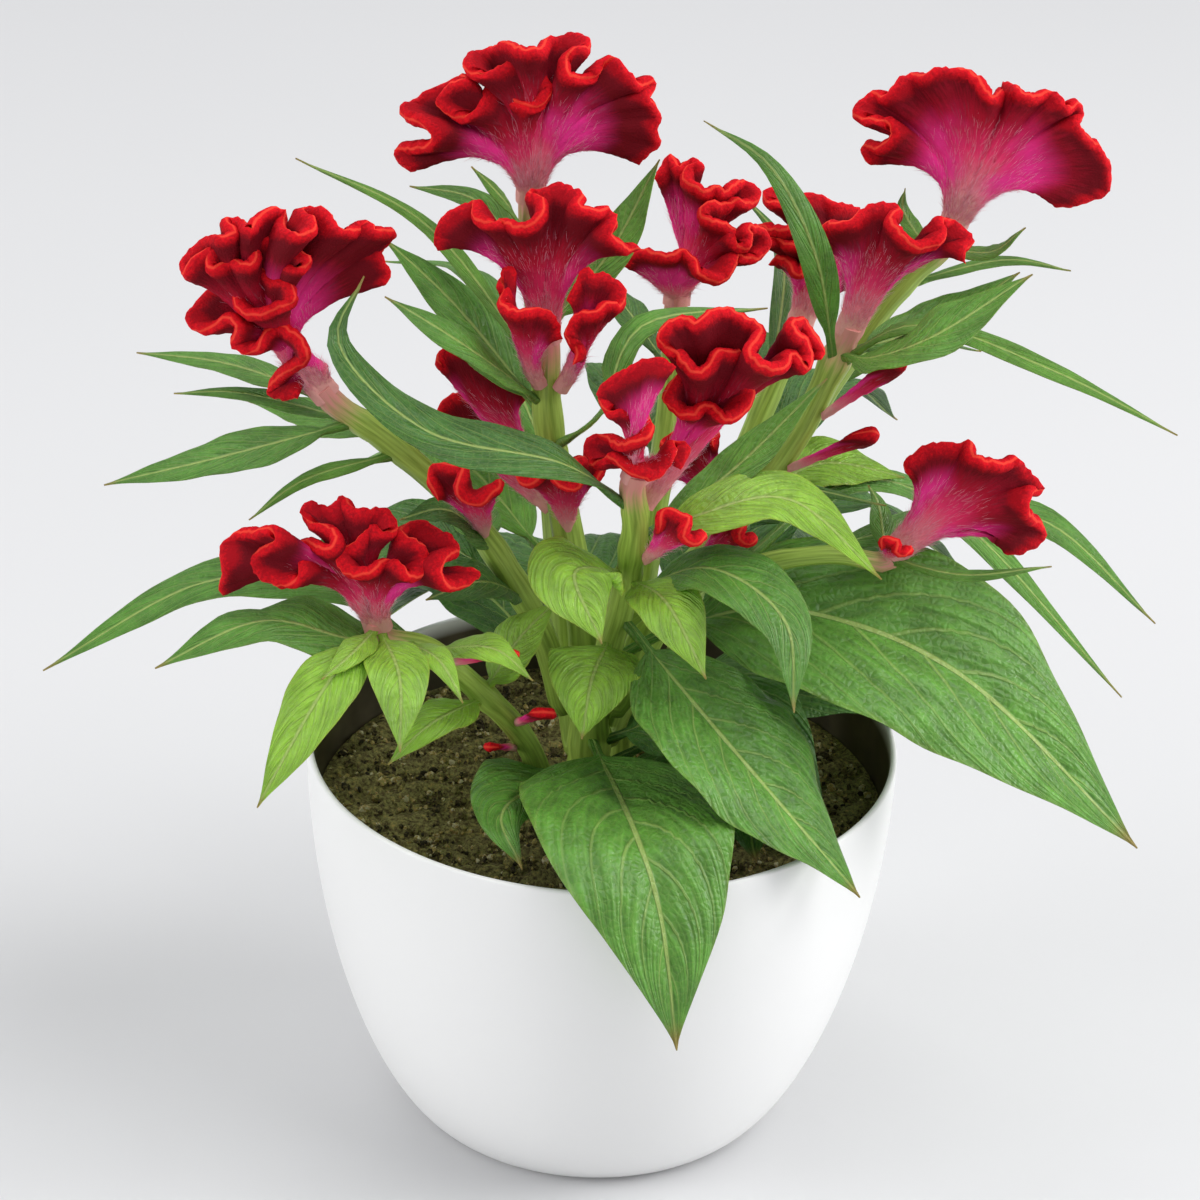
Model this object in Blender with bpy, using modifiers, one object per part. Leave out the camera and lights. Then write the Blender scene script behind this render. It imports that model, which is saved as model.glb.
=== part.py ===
"""Cockscomb celosia (Celosia argentea, cristata group) in a white cover pot.

Lengths are in metres with +Z up. The origin is on the floor at the middle of the pot's
base, and the front of the plant looks along -Y. Places on the plant are written in
millimetres, as tuples, and mm() turns them into metres.

The pot and the soil are turned shapes. Each leafy stem is a tapered tube with its leaves
sunk in it, and each comb is a sheet that spreads from its neck like a fan and swings from
side to side along its crest. The crests of most of them run through set places.
"""

import math
from dataclasses import dataclass

import bmesh
import bpy
import numpy as np
from mathutils import Vector, noise

MM = 0.001
GAP = 0.0003

# Pot: a round cover pot whose side turns in to a small base.
RIM_RADIUS = 0.075
BASE_RADIUS = 0.0455
POT_HEIGHT = 0.104
WALL = 0.0016
FLOOR = 0.0030
FOOT_BEVEL = 0.0012
SIDE_POWER = 1.93
SIDE_ROOT = 1 / 1.43
POT_SIDES = 36
POT_RINGS = 7

# Soil: fills the pot to 19 mm below its rim, with a crumbly top.
SOIL_LEVEL = 0.085
SOIL_RINGS = 4
CRUMB = 0.0016
CRUMB_SCALE = 140.0
ROOT_DEPTH = 0.028
HOLE_PLAY = 0.0009

# Leaves and combs are sheets of these thicknesses.
LEAF_THICKNESS = 0.0007
PETIOLE_HALF_WIDTH = 0.0011
TIP_HALF_WIDTH = 0.00012
BROAD_LEAF = 20
TEAR_DEPTH = 0.5
TEAR_LENGTH = 0.12
STEM_SIDES_RESOLUTION = 1
STEM_STEP = 0.011
COMB_SEAT_STRAIGHT = 0.006

# Combs whose crest runs through set places, in millimetres: how far along it the crest and the
# fan below it are evened out, and how far apart the columns of the sheet are.
CREST_EVEN = 5.0
FAN_EVEN = 12.0
CREST_STEP = 4.9
FAN_ARCH = 0.24

GREEN = (0.13, 0.27, 0.06)
RED = (0.55, 0.005, 0.02)
WHITE = (0.86, 0.86, 0.85)
BROWN = (0.10, 0.07, 0.03)


@dataclass(frozen=True)
class Leaf:
    """A leaf that leaves its stem at a height, passes through places and ends at the last one."""

    height: float
    path: tuple
    width: float
    face: tuple = (0.0, -0.35, 1.0)
    petiole: float = 0.14
    wave: float = 0.08
    fold: float = 0.22
    torn_at: float = 0.0


@dataclass(frozen=True)
class Stem:
    """A stem from its root, or from the trunk at a height, to the seat of the comb on its end."""

    places: tuple
    radii: tuple
    tip_axis: tuple
    leaves: tuple = ()
    trunk_height: float = 0.0


@dataclass(frozen=True)
class Comb:
    """A fan of bloom on the end of a stem or, where it has an axis, on its side at a height.

    reach is the length from neck to crest, spread half the angle of the fan in degrees, and
    folds the number of waves along the crest, which swing out by depth on either side.
    """

    stem: str
    reach: float
    spread: float
    folds: float
    depth: float
    at_height: float = 0.0
    axis: tuple = ()
    neck: float = 3.6
    thick: tuple = (4.6, 3.2)
    drop: float = 0.20
    skew: float = 0.0
    cup: float = 0.0
    phase: float = 0.0
    across: tuple = (1.0, 0.0, 0.0)
    columns: int = 24
    rows: int = 3


STEMS = {
    "main": Stem(
        places=((-3, 0, 57), (-3, 0, 90), (-5, 0, 132), (-11, -2, 166), (-16, -4, 195), (-17, -5, 218)),
        radii=(5.5, 3.2),
        tip_axis=(-0.08, -0.15, 1.0),
        leaves=(
            Leaf(104, ((8, -62, 114), (15, -80, 101), (20, -92, 72)), 51, face=(0.1, -0.35, 1.0), wave=0.05),
            Leaf(122, ((20, -4, 139), (47, -12, 148), (87, -24, 138), (133, -34, 97)), 53,
                 face=(0.2, -0.6, 1.0), petiole=0.20),
            Leaf(101, ((30, -10, 118), (57, -34, 100)), 34),
            Leaf(93, ((50, 10, 117), (90, 14, 102)), 30),
            Leaf(94, ((24, -36, 108), (44, -54, 106)), 30),
            Leaf(95, ((-4, -34, 103), (-17, -66, 110)), 28),
            Leaf(197, ((-36, -19, 219), (-55, -12, 228)), 12),
            Leaf(193, ((-38, 6, 217), (-57, 10, 234)), 16),
            Leaf(186, ((-3, -23, 205), (6, -27, 229), (35, -18, 231)), 9),
            Leaf(204, ((-46, 14, 235), (-79, 22, 249)), 5),
        ),
    ),
    "front": Stem(
        places=((1, -11, 137), (4, -15, 152), (6, -26, 176), (6, -35, 196)),
        radii=(3.4, 3.0),
        tip_axis=(0.2, -0.45, 1.0),
        trunk_height=126,
        leaves=(
            Leaf(146, ((30, -44, 128), (63, -63, 98)), 40, face=(0.2, -0.25, 1.0)),
            Leaf(138, ((-3, -32, 138), (-5, -42, 127)), 24),
            Leaf(160, ((-8, -35, 168), (-1, -47, 156)), 24),
            Leaf(158, ((14, -35, 161), (24, -48, 148)), 17),
            Leaf(152, ((24, -28, 167), (42, -42, 161), (45, -54, 143)), 19),
            Leaf(168, ((21, -26, 180), (43, -22, 183), (65, -34, 169)), 17),
            Leaf(182, ((-12, -42, 200), (-43, -38, 205), (-64, -32, 223), (-59, -24, 238)), 15),
            Leaf(170, ((30, -13, 187), (51, -3, 207)), 12),
            Leaf(172, ((36, -7, 179), (67, -8, 176)), 6),
        ),
    ),
    "left": Stem(
        places=((-17, -6, 139), (-34, -5, 167), (-52, -5, 185), (-71, -5, 201)),
        radii=(3.4, 2.8),
        tip_axis=(-0.8, -0.1, 1.0),
        trunk_height=116,
        leaves=(
            Leaf(192, ((-95, -14, 185), (-122, -18, 179)), 13),
            Leaf(197, ((-94, 10, 199), (-118, 16, 199)), 8),
            Leaf(191, ((-89, 4, 194), (-108, 8, 192)), 6),
            Leaf(184, ((-73, -15, 181), (-87, -20, 172)), 5),
            Leaf(187, ((-75, 14, 185), (-91, 20, 185)), 14),
            Leaf(157, ((-39, -12, 172), (-51, -15, 171)), 13),
            Leaf(150, ((-52, 18, 150), (-88, 32, 130)), 24),
            Leaf(146, ((-31, -18, 156), (-44, -24, 154)), 16),
            Leaf(160, ((-34, 10, 160), (-40, 20, 168)), 12),
        ),
    ),
    "lower_left": Stem(
        places=((-14, -12, 57), (-14, -12, 90), (-19, -18, 112), (-30, -28, 131), (-43, -36, 147),
                (-55, -40, 157)),
        radii=(3.4, 2.6),
        tip_axis=(-0.22, -0.25, 1.0),
        leaves=(
            Leaf(148, ((-67, -22, 155), (-99, -18, 153), (-137, -28, 133)), 14),
            Leaf(143, ((-62, -42, 152), (-82, -46, 158), (-106, -54, 149)), 18, torn_at=0.62),
            Leaf(151, ((-64, -58, 150), (-80, -76, 125)), 16),
            Leaf(153, ((-48, -60, 152), (-47, -72, 139)), 15),
            Leaf(129, ((-41, -46, 132), (-51, -54, 125)), 12),
            Leaf(154, ((-60, -54, 154), (-66, -62, 152)), 8),
            Leaf(146, ((-27, -48, 154), (-17, -50, 147)), 10),
            Leaf(149, ((-39, -55, 154), (-33, -62, 147)), 8),
            Leaf(130, ((-21, -26, 145), (-12, -22, 154)), 14),
        ),
    ),
    "right": Stem(
        places=((13, 9, 138), (30, 10, 160), (46, 10, 187), (57, 10, 216)),
        radii=(3.8, 3.2),
        tip_axis=(0.33, -0.1, 1.0),
        trunk_height=112,
        leaves=(
            Leaf(207, ((62, -2, 212), (76, -12, 223), (97, -11, 239)), 18),
            Leaf(207, ((79, 16, 214), (98, 22, 226)), 16),
            Leaf(203, ((72, 0, 220), (104, -8, 213), (134, -18, 202)), 7),
            Leaf(205, ((46, -13, 242), (34, -18, 266), (18, -19, 277)), 8, face=(0.0, -1.0, 0.3)),
            Leaf(165, ((52, 20, 173), (74, 25, 168)), 18),
        ),
    ),
    "top_right": Stem(
        places=((12, 19, 124), (30, 26, 154), (50, 30, 184), (67, 30, 214), (82, 30, 236)),
        radii=(3.6, 2.8),
        tip_axis=(0.3, -0.1, 1.0),
        trunk_height=102,
        leaves=(
            Leaf(226, ((70, 38, 234), (70, 40, 240)), 5),
            Leaf(228, ((90, 16, 233), (97, 11, 242)), 8),
            Leaf(218, ((95, 36, 223), (112, 34, 222)), 4),
            Leaf(150, ((66, 46, 150), (96, 58, 124)), 26, face=(0.2, 0.3, 1.0)),
            Leaf(186, ((72, 46, 196), (94, 56, 190)), 13, face=(0.0, 0.3, 1.0)),
        ),
    ),
    "small_right": Stem(
        places=((8, -4, 143), (30, -9, 157), (52, -10, 163), (71, -10, 166)),
        radii=(2.8, 2.2),
        tip_axis=(0.8, -0.2, 1.0),
        trunk_height=134,
        leaves=(
            Leaf(161, ((80, 5, 165), (108, 8, 165), (137, 0, 142)), 12),
            Leaf(162, ((86, -21, 164), (107, -20, 167)), 4),
            Leaf(157, ((60, 19, 169), (90, 28, 154), (133, 14, 113)), 10),
            Leaf(162, ((66, 0, 171), (63, 1, 177)), 6),
        ),
    ),
    "top": Stem(
        places=((-10, 13, 118), (-13, 17, 147), (-17, 19, 189), (-21, 20, 225), (-22, 20, 244)),
        radii=(3.6, 2.8),
        tip_axis=(0.0, -0.15, 1.0),
        trunk_height=98,
        leaves=(
            Leaf(218, ((-34, 28, 236), (-52, 32, 239)), 9),
            Leaf(229, ((-28, 12, 243), (-36, 10, 253)), 7),
            Leaf(205, ((-2, 26, 226), (9, 30, 249)), 13),
            Leaf(112, ((-38, 45, 123), (-66, 63, 98)), 28, face=(-0.2, 0.3, 1.0)),
            Leaf(142, ((-44, 48, 160), (-76, 66, 142)), 28, face=(-0.2, 0.3, 1.0)),
            Leaf(198, ((-38, 42, 212), (-60, 54, 210)), 12, face=(0.0, 0.3, 1.0)),
            Leaf(170, ((-30, 50, 186), (-44, 76, 176)), 20, face=(0.0, 0.3, 1.0)),
        ),
    ),
    "back": Stem(
        places=((5, 17, 57), (5, 17, 82), (6, 22, 108), (10, 32, 140), (14, 41, 176), (15, 45, 208)),
        radii=(3.8, 3.0),
        tip_axis=(0.05, 0.1, 1.0),
        leaves=(
            Leaf(118, ((-14, 66, 124), (-30, 98, 92)), 44, face=(0.0, 0.4, 1.0)),
            Leaf(160, ((4, 74, 172), (-4, 100, 154)), 26, face=(0.0, 0.4, 1.0)),
            Leaf(186, ((0, 62, 198), (-10, 80, 196)), 13, face=(0.0, 0.4, 1.0)),
        ),
    ),
    "back_right": Stem(
        places=((16, 22, 57), (16, 22, 82), (18, 27, 104), (24, 40, 134), (36, 52, 166), (48, 60, 197)),
        radii=(3.4, 2.8),
        tip_axis=(0.3, 0.15, 1.0),
        leaves=(
            Leaf(176, ((43, 80, 204), (31, 86, 220)), 6),
            Leaf(112, ((36, 72, 132), (58, 100, 102)), 38, face=(0.1, 0.4, 1.0)),
            Leaf(150, ((58, 82, 168), (78, 104, 148)), 22, face=(0.2, 0.4, 1.0)),
            Leaf(172, ((34, 80, 182), (24, 98, 174)), 14, face=(0.0, 0.4, 1.0)),
        ),
    ),
}

COMBS = {
    "top": Comb("top", 41, 80, 6, 9.0, drop=0.22, columns=30, phase=0.4, cup=4, across=(1, 0.15, 0)),
    "center_upper": Comb("main", 37, 40, 4, 8.0, phase=1.2, columns=22, cup=5, across=(1, -0.15, 0)),
    "center_lobe_left": Comb(
        "main", 24, 20, 1, 4.0, 200, (-0.35, -0.65, 0.95), 2.0, (3.0, 3.2), columns=10,
    ),
    "center_lobe_right": Comb(
        "main", 26, 24, 1, 4.0, 197, (0.45, -0.45, 1.0), 2.0, (3.0, 3.2), columns=10,
    ),
    "back": Comb("back", 34, 60, 4, 8.0, phase=2.0, columns=22, cup=3, across=(1, 0.5, 0)),
    "back_right": Comb("back_right", 34, 38, 3, 6.0, phase=0.8, columns=20, cup=3, across=(1, -0.5, 0)),
    "right_mid": Comb(
        "right", 34, 38, 4, 8.0, skew=0.12, phase=2.4, columns=22, cup=4, across=(1, 0.2, 0),
    ),
    "top_right": Comb(
        "top_right", 41, 72, 6, 9.0, drop=0.22, columns=30, phase=3.0, cup=5, across=(1, -0.25, 0),
    ),
    "left": Comb(
        "left", 45, 64, 6, 10.0, drop=0.34, skew=0.32, columns=30, phase=0.9, cup=5,
        across=(1, 0.4, 0),
    ),
    "front_lower": Comb("front", 33, 58, 4, 9.0, phase=0.5, columns=24, cup=4, across=(1, 0.2, 0)),
    "front_upper": Comb(
        "front", 46, 26, 3, 8.0, 180, (0.66, 0.2, 1.0), 2.4, (3.4, 3.2), phase=1.0, columns=22,
        across=(1, -0.15, 0),
    ),
    "lower_left": Comb(
        "lower_left", 34, 64, 5, 9.0, drop=0.12, columns=30, phase=2.2, cup=5, across=(1, -0.2, 0),
    ),
    "small_right": Comb(
        "small_right", 35, 40, 4, 6.0, phase=1.5, columns=22, cup=3, across=(1, -0.3, 0),
    ),
    "inner_left": Comb("main", 26, 26, 2, 4.0, 176, (-1.0, 0.3, 0.85), 2.0, (3.0, 3.0), columns=12),
    "inner_left_low": Comb("main", 25, 28, 2, 4.0, 166, (-1.0, 0.4, 0.65), 2.0, (3.0, 3.0), columns=12),
    "side_left": Comb("left", 24, 24, 1, 4.0, 160, (-0.25, -0.6, 1.0), 2.0, (3.0, 3.0), columns=10),
    "side_center": Comb("main", 28, 22, 2, 4.0, 158, (-0.1, -0.6, 1.0), 2.0, (3.0, 3.0), columns=12),
    "inner_right": Comb("right", 24, 22, 2, 4.0, 162, (-0.7, -0.1, 1.0), 2.0, (3.0, 3.0), columns=12),
    "pink_front": Comb("front", 25, 14, 1, 2.5, 160, (0.5, -0.9, 1.0), 1.6, (2.6, 3.0), columns=8),
    "pink_back": Comb("right", 22, 14, 1, 2.5, 146, (0.6, -0.7, 1.0), 1.6, (2.6, 3.0), columns=8),
    "club_upper": Comb("right", 26, 5, 0, 0.0, 186, (1.0, -0.5, 1.1), 1.3, (2.6, 4.4), columns=4),
    "club_lower": Comb("right", 26, 5, 0, 0.0, 174, (1.2, -0.7, 0.95), 1.3, (2.6, 4.4), columns=4),
    "bud_top_right": Comb(
        "top_right", 7, 6, 0, 0.0, 226, (-0.3, -1.0, 0.9), 0.9, (1.6, 2.2), columns=4,
    ),
    "bud_small_right": Comb(
        "small_right", 13, 16, 1, 1.5, 162, (0.1, -1.0, 0.8), 1.4, (2.0, 2.6), columns=6,
    ),
    "strap_left": Comb(
        "lower_left", 14, 6, 0, 0.0, 149, (-1.0, 0.27, -0.10), 1.4, (1.8, 1.8), columns=4,
    ),
    "strap_right": Comb("lower_left", 20, 6, 0, 0.0, 142, (0.9, -0.6, 0.5), 1.4, (1.8, 1.8), columns=4),
    "shoot_low": Comb("lower_left", 18, 8, 0, 0.0, 119, (0.5, -0.9, 0.7), 1.4, (2.2, 2.4), columns=4),
    "bud_low": Comb("lower_left", 9, 8, 0, 0.0, 110, (-0.8, -0.9, 0.5), 1.2, (2.0, 2.6), columns=4),
    "bud_center": Comb("main", 14, 5, 0, 0.0, 148, (-0.6, -0.9, 0.9), 1.1, (1.8, 2.0), columns=4),
}

# Places that the crests of some combs run through, in millimetres from their necks.
CRESTS = {
    "top_right": (
        (-22, -2, 14), (-24, 0, 16), (-24, 1, 18), (-21, -3, 19), (-18, -4, 22), (-18, -3, 25),
        (-21, -2, 26), (-25, -2, 26), (-27, 1, 27), (-25, 3, 29), (-22, 3, 31), (-20, 0, 31),
        (-18, 1, 33), (-16, 3, 35), (-13, 3, 36), (-11, -1, 37), (-8, -1, 39), (-4, -0, 39),
        (-1, -1, 39), (2, -3, 38), (4, -6, 36), (6, -6, 34), (9, 3, 33), (10, 7, 33), (12, 0, 35),
        (13, -4, 35), (16, -4, 34), (21, -0, 34), (23, -1, 33), (25, -3, 31), (28, 1, 31),
        (29, 1, 28), (28, -2, 27), (29, -3, 25), (32, -2, 22), (34, -1, 20), (36, -1, 17),
        (37, 0, 13), (37, -0, 9), (34, -1, 7), (30, -2, 6), (26, -2, 5), (23, -2, 6),
    ),
    "center_upper": (
        (-26, -2, 20), (-27, -0, 22), (-26, 1, 26), (-23, 2, 29), (-20, 3, 30), (-18, 3, 31),
        (-18, -2, 30), (-16, -5, 29), (-13, -5, 29), (-11, -4, 29), (-8, -7, 29), (-5, -7, 29),
        (-2, -6, 31), (-1, -3, 33), (-2, 0, 34), (-5, 3, 34), (-1, 5, 34), (2, 6, 35), (5, 4, 35),
        (8, 0, 35), (7, -3, 34), (9, -4, 33), (12, -3, 32), (14, -1, 32), (16, -1, 30),
        (16, -4, 29), (15, -5, 27), (17, -5, 25), (19, -4, 23), (22, -1, 22),
    ),
    "small_right": (
        (-0, -2, 21), (-1, -1, 23), (1, 0, 25), (4, 1, 27), (8, 1, 28), (12, 1, 28), (15, -0, 29),
        (15, -5, 28), (18, -6, 27), (21, -5, 26), (24, -3, 25), (27, -0, 25), (29, 1, 22),
        (32, 1, 19), (34, 2, 16), (31, -2, 17), (30, -5, 15), (30, -6, 13), (32, -3, 10),
        (35, 1, 6), (35, 1, 3), (32, -1, 1), (28, -2, 0), (26, -2, 2),
    ),
    "right_mid": (
        (-10, -2, 21), (-10, 0, 23), (-8, 0, 26), (-6, -3, 27), (-2, -2, 28), (0, 1, 29),
        (3, 3, 30), (7, 4, 30), (10, 4, 29), (8, -2, 30), (7, -4, 29), (9, -6, 27), (11, -7, 25),
        (14, -7, 23), (17, -6, 23), (20, -5, 24), (21, -2, 26), (20, 0, 28), (23, 4, 26),
        (26, 3, 24), (28, 1, 22), (26, -2, 21), (26, -3, 18),
    ),
    "center_lobe_left": (
        (-5, -2, 28), (-7, -0, 29), (-9, -1, 27), (-8, -4, 25), (-9, -7, 23), (-6, -10, 22),
        (-3, -10, 22), (0, -8, 22), (3, -8, 21), (5, -7, 18), (6, -8, 14),
    ),
    "center_lobe_right": (
        (-0, -6, 24), (2, -4, 28), (4, -3, 31), (7, -4, 30), (9, -3, 30), (12, -3, 28),
        (14, -5, 26), (13, -8, 24), (10, -9, 25), (7, -10, 23), (3, -9, 22), (1, -9, 20),
        (0, -10, 17), (1, -10, 15), (3, -9, 12), (2, -10, 9),
    ),
    "inner_left": (
        (-23, 3, 23), (-24, 5, 25), (-22, 6, 27), (-20, 5, 27), (-17, 4, 28), (-14, 3, 26),
        (-11, 3, 24), (-8, 3, 23), (-5, 4, 22), (-2, 4, 19), (-1, 3, 16),
    ),
    "inner_left_low": (
        (-24, 4, 18), (-27, 6, 19), (-26, 7, 22), (-23, 7, 25), (-19, 6, 26), (-16, 5, 25),
        (-13, 5, 24), (-10, 4, 21),
    ),
}


def mm(point):
    """Turns a place in millimetres into metres."""
    return Vector(point) * MM


def fresh_scene(name):
    """Empties the scene and makes the collections for the parts and the cutters."""
    for old in list(bpy.data.objects):
        bpy.data.objects.remove(old, do_unlink=True)
    made = []
    for label in (name, "cutters"):
        collection = bpy.data.collections.new(label)
        bpy.context.scene.collection.children.link(collection)
        made.append(collection)
    made[1].hide_render = True
    return made


def material(name, color, roughness):
    """Makes a plain Principled material."""
    made = bpy.data.materials.new(name)
    made.use_nodes = True
    shader = made.node_tree.nodes["Principled BSDF"]
    shader.inputs["Base Color"].default_value = (*color, 1.0)
    shader.inputs["Roughness"].default_value = roughness
    return made


def object_from(bm, name, collection):
    """Puts a bmesh into a new object of a collection."""
    mesh = bpy.data.meshes.new(name)
    bm.to_mesh(mesh)
    bm.free()
    made = bpy.data.objects.new(name, mesh)
    collection.objects.link(made)
    return made


def apply_modifiers(obj):
    """Replaces the object's mesh with the one its modifiers make."""
    bpy.context.view_layer.update()
    graph = bpy.context.evaluated_depsgraph_get()
    old = obj.data
    obj.data = bpy.data.meshes.new_from_object(obj.evaluated_get(graph))
    obj.modifiers.clear()
    bpy.data.meshes.remove(old)


def finish(obj, finish_material, sharp_angle=40.0):
    """Gives the object its material and smooth shading."""
    obj.data.materials.clear()
    obj.data.materials.append(finish_material)
    obj.data.shade_smooth()
    obj.data.set_sharp_from_angle(angle=math.radians(sharp_angle))


def turned(name, profile, collection, sides=POT_SIDES):
    """Spins a profile of (radius, height) points round the Z axis."""
    bm = bmesh.new()
    corners = [bm.verts.new((radius, 0.0, height)) for radius, height in profile]
    for start, end in zip(corners, corners[1:]):
        bm.edges.new((start, end))
    made = object_from(bm, name, collection)
    screw = made.modifiers.new("spin", "SCREW")
    screw.steps = screw.render_steps = sides
    screw.use_merge_vertices = True
    screw.merge_threshold = 1e-5
    apply_modifiers(made)
    return made


def side_radius(height):
    """The outer radius of the pot's side at a height."""
    share = (1 - (1 - height / POT_HEIGHT) ** SIDE_POWER) ** SIDE_ROOT
    return BASE_RADIUS + (RIM_RADIUS - BASE_RADIUS) * share


def side_heights(low, high, count):
    """Heights from high to low that lie closer together near the foot, where the side bends."""
    return [low + (high - low) * (1 - step / (count - 1)) ** 1.6 for step in range(count)]


def build_pot(collection):
    """A thin pot with a rounded rim, open at the top."""
    rim_top = POT_HEIGHT
    outer = [(side_radius(z), z) for z in side_heights(FOOT_BEVEL, rim_top - WALL / 2, POT_RINGS)]
    foot = [(BASE_RADIUS, 0.0), (0.0, 0.0)]
    inner = [(side_radius(z) - WALL, z) for z in side_heights(FLOOR, rim_top - WALL / 2, POT_RINGS)]
    rim = [(RIM_RADIUS - WALL / 2, rim_top)]
    profile = [(0.0, FLOOR)] + inner[::-1] + rim + outer + foot
    return turned("pot", profile, collection)


def build_soil(collection, cutters, roots):
    """Soil that fills the pot, with crumbs on top and a plain hole for each rooted stem."""
    heights = side_heights(FLOOR, POT_HEIGHT - WALL / 2, POT_RINGS)
    wall_heights = [SOIL_LEVEL] + [z for z in heights if z < SOIL_LEVEL - 0.004]
    side = [(side_radius(z) - WALL - GAP, z) for z in wall_heights]
    side[-1] = (side[-1][0], FLOOR + GAP)
    edge = side[0][0]
    top = [(edge * ring / SOIL_RINGS, SOIL_LEVEL) for ring in range(SOIL_RINGS)]
    made = turned("soil", top + side + [(0.0, FLOOR + GAP)], collection)
    for vertex in made.data.vertices:
        flat_radius = math.hypot(vertex.co.x, vertex.co.y)
        if vertex.co.z > SOIL_LEVEL - GAP and flat_radius < edge - GAP:
            vertex.co.z += CRUMB * noise.noise(vertex.co * CRUMB_SCALE)
    for x, y, radius in roots:
        bm = bmesh.new()
        bmesh.ops.create_cone(
            bm, cap_ends=True, segments=16, radius1=radius, radius2=radius, depth=2 * ROOT_DEPTH + 2 * GAP
        )
        cutter = object_from(bm, "root_hole", cutters)
        cutter.location = (x, y, SOIL_LEVEL)
        cutter.hide_render = True
        cutter.display_type = "WIRE"
        hole = made.modifiers.new("root_hole", "BOOLEAN")
        hole.operation = "DIFFERENCE"
        hole.object = cutter
    return made


def smooth_path(points, shares):
    """Places at the given shares of the length of the smooth curve through some points."""
    ends = np.array([2 * points[0] - points[1], *points, 2 * points[-1] - points[-2]])
    dense = []
    for before, start, end, after in zip(ends, ends[1:], ends[2:], ends[3:]):
        for share in np.linspace(0.0, 1.0, 16, endpoint=False):
            even = 2 * start + (end - before) * share
            square = (2 * before - 5 * start + 4 * end - after) * share**2
            cube = (3 * start - before - 3 * end + after) * share**3
            dense.append((even + square + cube) / 2)
    dense = np.array([*dense, points[-1]])
    steps = np.linalg.norm(np.diff(dense, axis=0), axis=1)
    along = np.concatenate([[0.0], np.cumsum(steps)])
    wanted = np.asarray(shares) * along[-1]
    return np.stack([np.interp(wanted, along, dense[:, axis]) for axis in range(3)], axis=1)


def unit(vector):
    """The vector at length 1."""
    return vector / np.linalg.norm(vector)


class Skeleton:
    """The centre lines and radii of all stems, in metres."""

    def __init__(self):
        self.lines = {}
        self.radii = {}
        for name, stem in STEMS.items():
            self.radii[name] = tuple(radius * MM for radius in stem.radii)
            self.lines[name] = self.line(name, stem)

    def line(self, name, stem):
        """A stem's centre line, whose first and last stretch are straight so its ends are square."""
        places = [np.array(place) * MM for place in stem.places]
        axis = unit(np.array(stem.tip_axis))
        seat = places[-1] - axis * GAP
        places = places[:-1] + [seat - axis * COMB_SEAT_STRAIGHT]
        start = []
        if stem.trunk_height:
            foot, knee = self.foot_on_trunk(stem.trunk_height * MM, places[0], self.radii[name][0])
            start = [foot]
            places = [knee, *places]
        length = sum(np.linalg.norm(end - begin) for begin, end in zip(places, places[1:]))
        shares = np.linspace(0.0, 1.0, max(4, round(length / STEM_STEP)) + 1)
        return np.array([*start, *smooth_path(places, shares), seat])

    def foot_on_trunk(self, height, toward, radius):
        """The first two places of a branch, whose flat foot is a gap clear of the trunk."""
        trunk, thickness, tangent = self.at("main", height)
        outward = toward - trunk
        outward = unit(outward - tangent * np.dot(outward, tangent))
        across = unit(np.cross(outward, tangent))
        turns = np.linspace(0.0, 2 * math.pi, 12, endpoint=False)
        rim = np.array([radius * (math.cos(a) * across + math.sin(a) * tangent) for a in turns])
        foot = self.clear_place("main", trunk + outward * thickness, outward, rim)
        return foot, foot + outward * radius * 0.7

    def gap(self, name, points):
        """The smallest distance from some points to the surface of a stem."""
        line = self.lines[name]
        start, end = self.radii[name]
        gaps = []
        for index, (low, high) in enumerate(zip(line, line[1:])):
            way = high - low
            share = np.clip((points - low) @ way / (way @ way), 0.0, 1.0)
            radius = start + (end - start) * (index + share) / (len(line) - 1)
            gaps.append(np.linalg.norm(points - low - np.outer(share, way), axis=1) - radius)
        return np.min(gaps)

    def clear_place(self, name, place, way, end_offsets):
        """Moves a flat end out along a way until all of it is a gap clear of a stem."""
        while self.gap(name, place + end_offsets) < GAP:
            place = place + way * GAP / 4
        return place

    def at(self, name, height):
        """The centre, radius and direction of a stem where it passes a height."""
        line = self.lines[name]
        share = float(np.interp(height, line[:, 2], np.linspace(0.0, 1.0, len(line))))
        place = share * (len(line) - 1)
        low = min(int(place), len(line) - 2)
        centre = line[low] + (line[low + 1] - line[low]) * (place - low)
        start, end = self.radii[name]
        return centre, start + (end - start) * share, unit(line[low + 1] - line[low])


def leaf_outline(share, petiole):
    """Half width of a leaf, as a share of its widest, along its length: stalk, blade, drawn tip."""
    blade = max(0.0, (share - petiole) / (1 - petiole))
    return 3.84 * blade**0.75 * (1 - blade) ** 1.3


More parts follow.
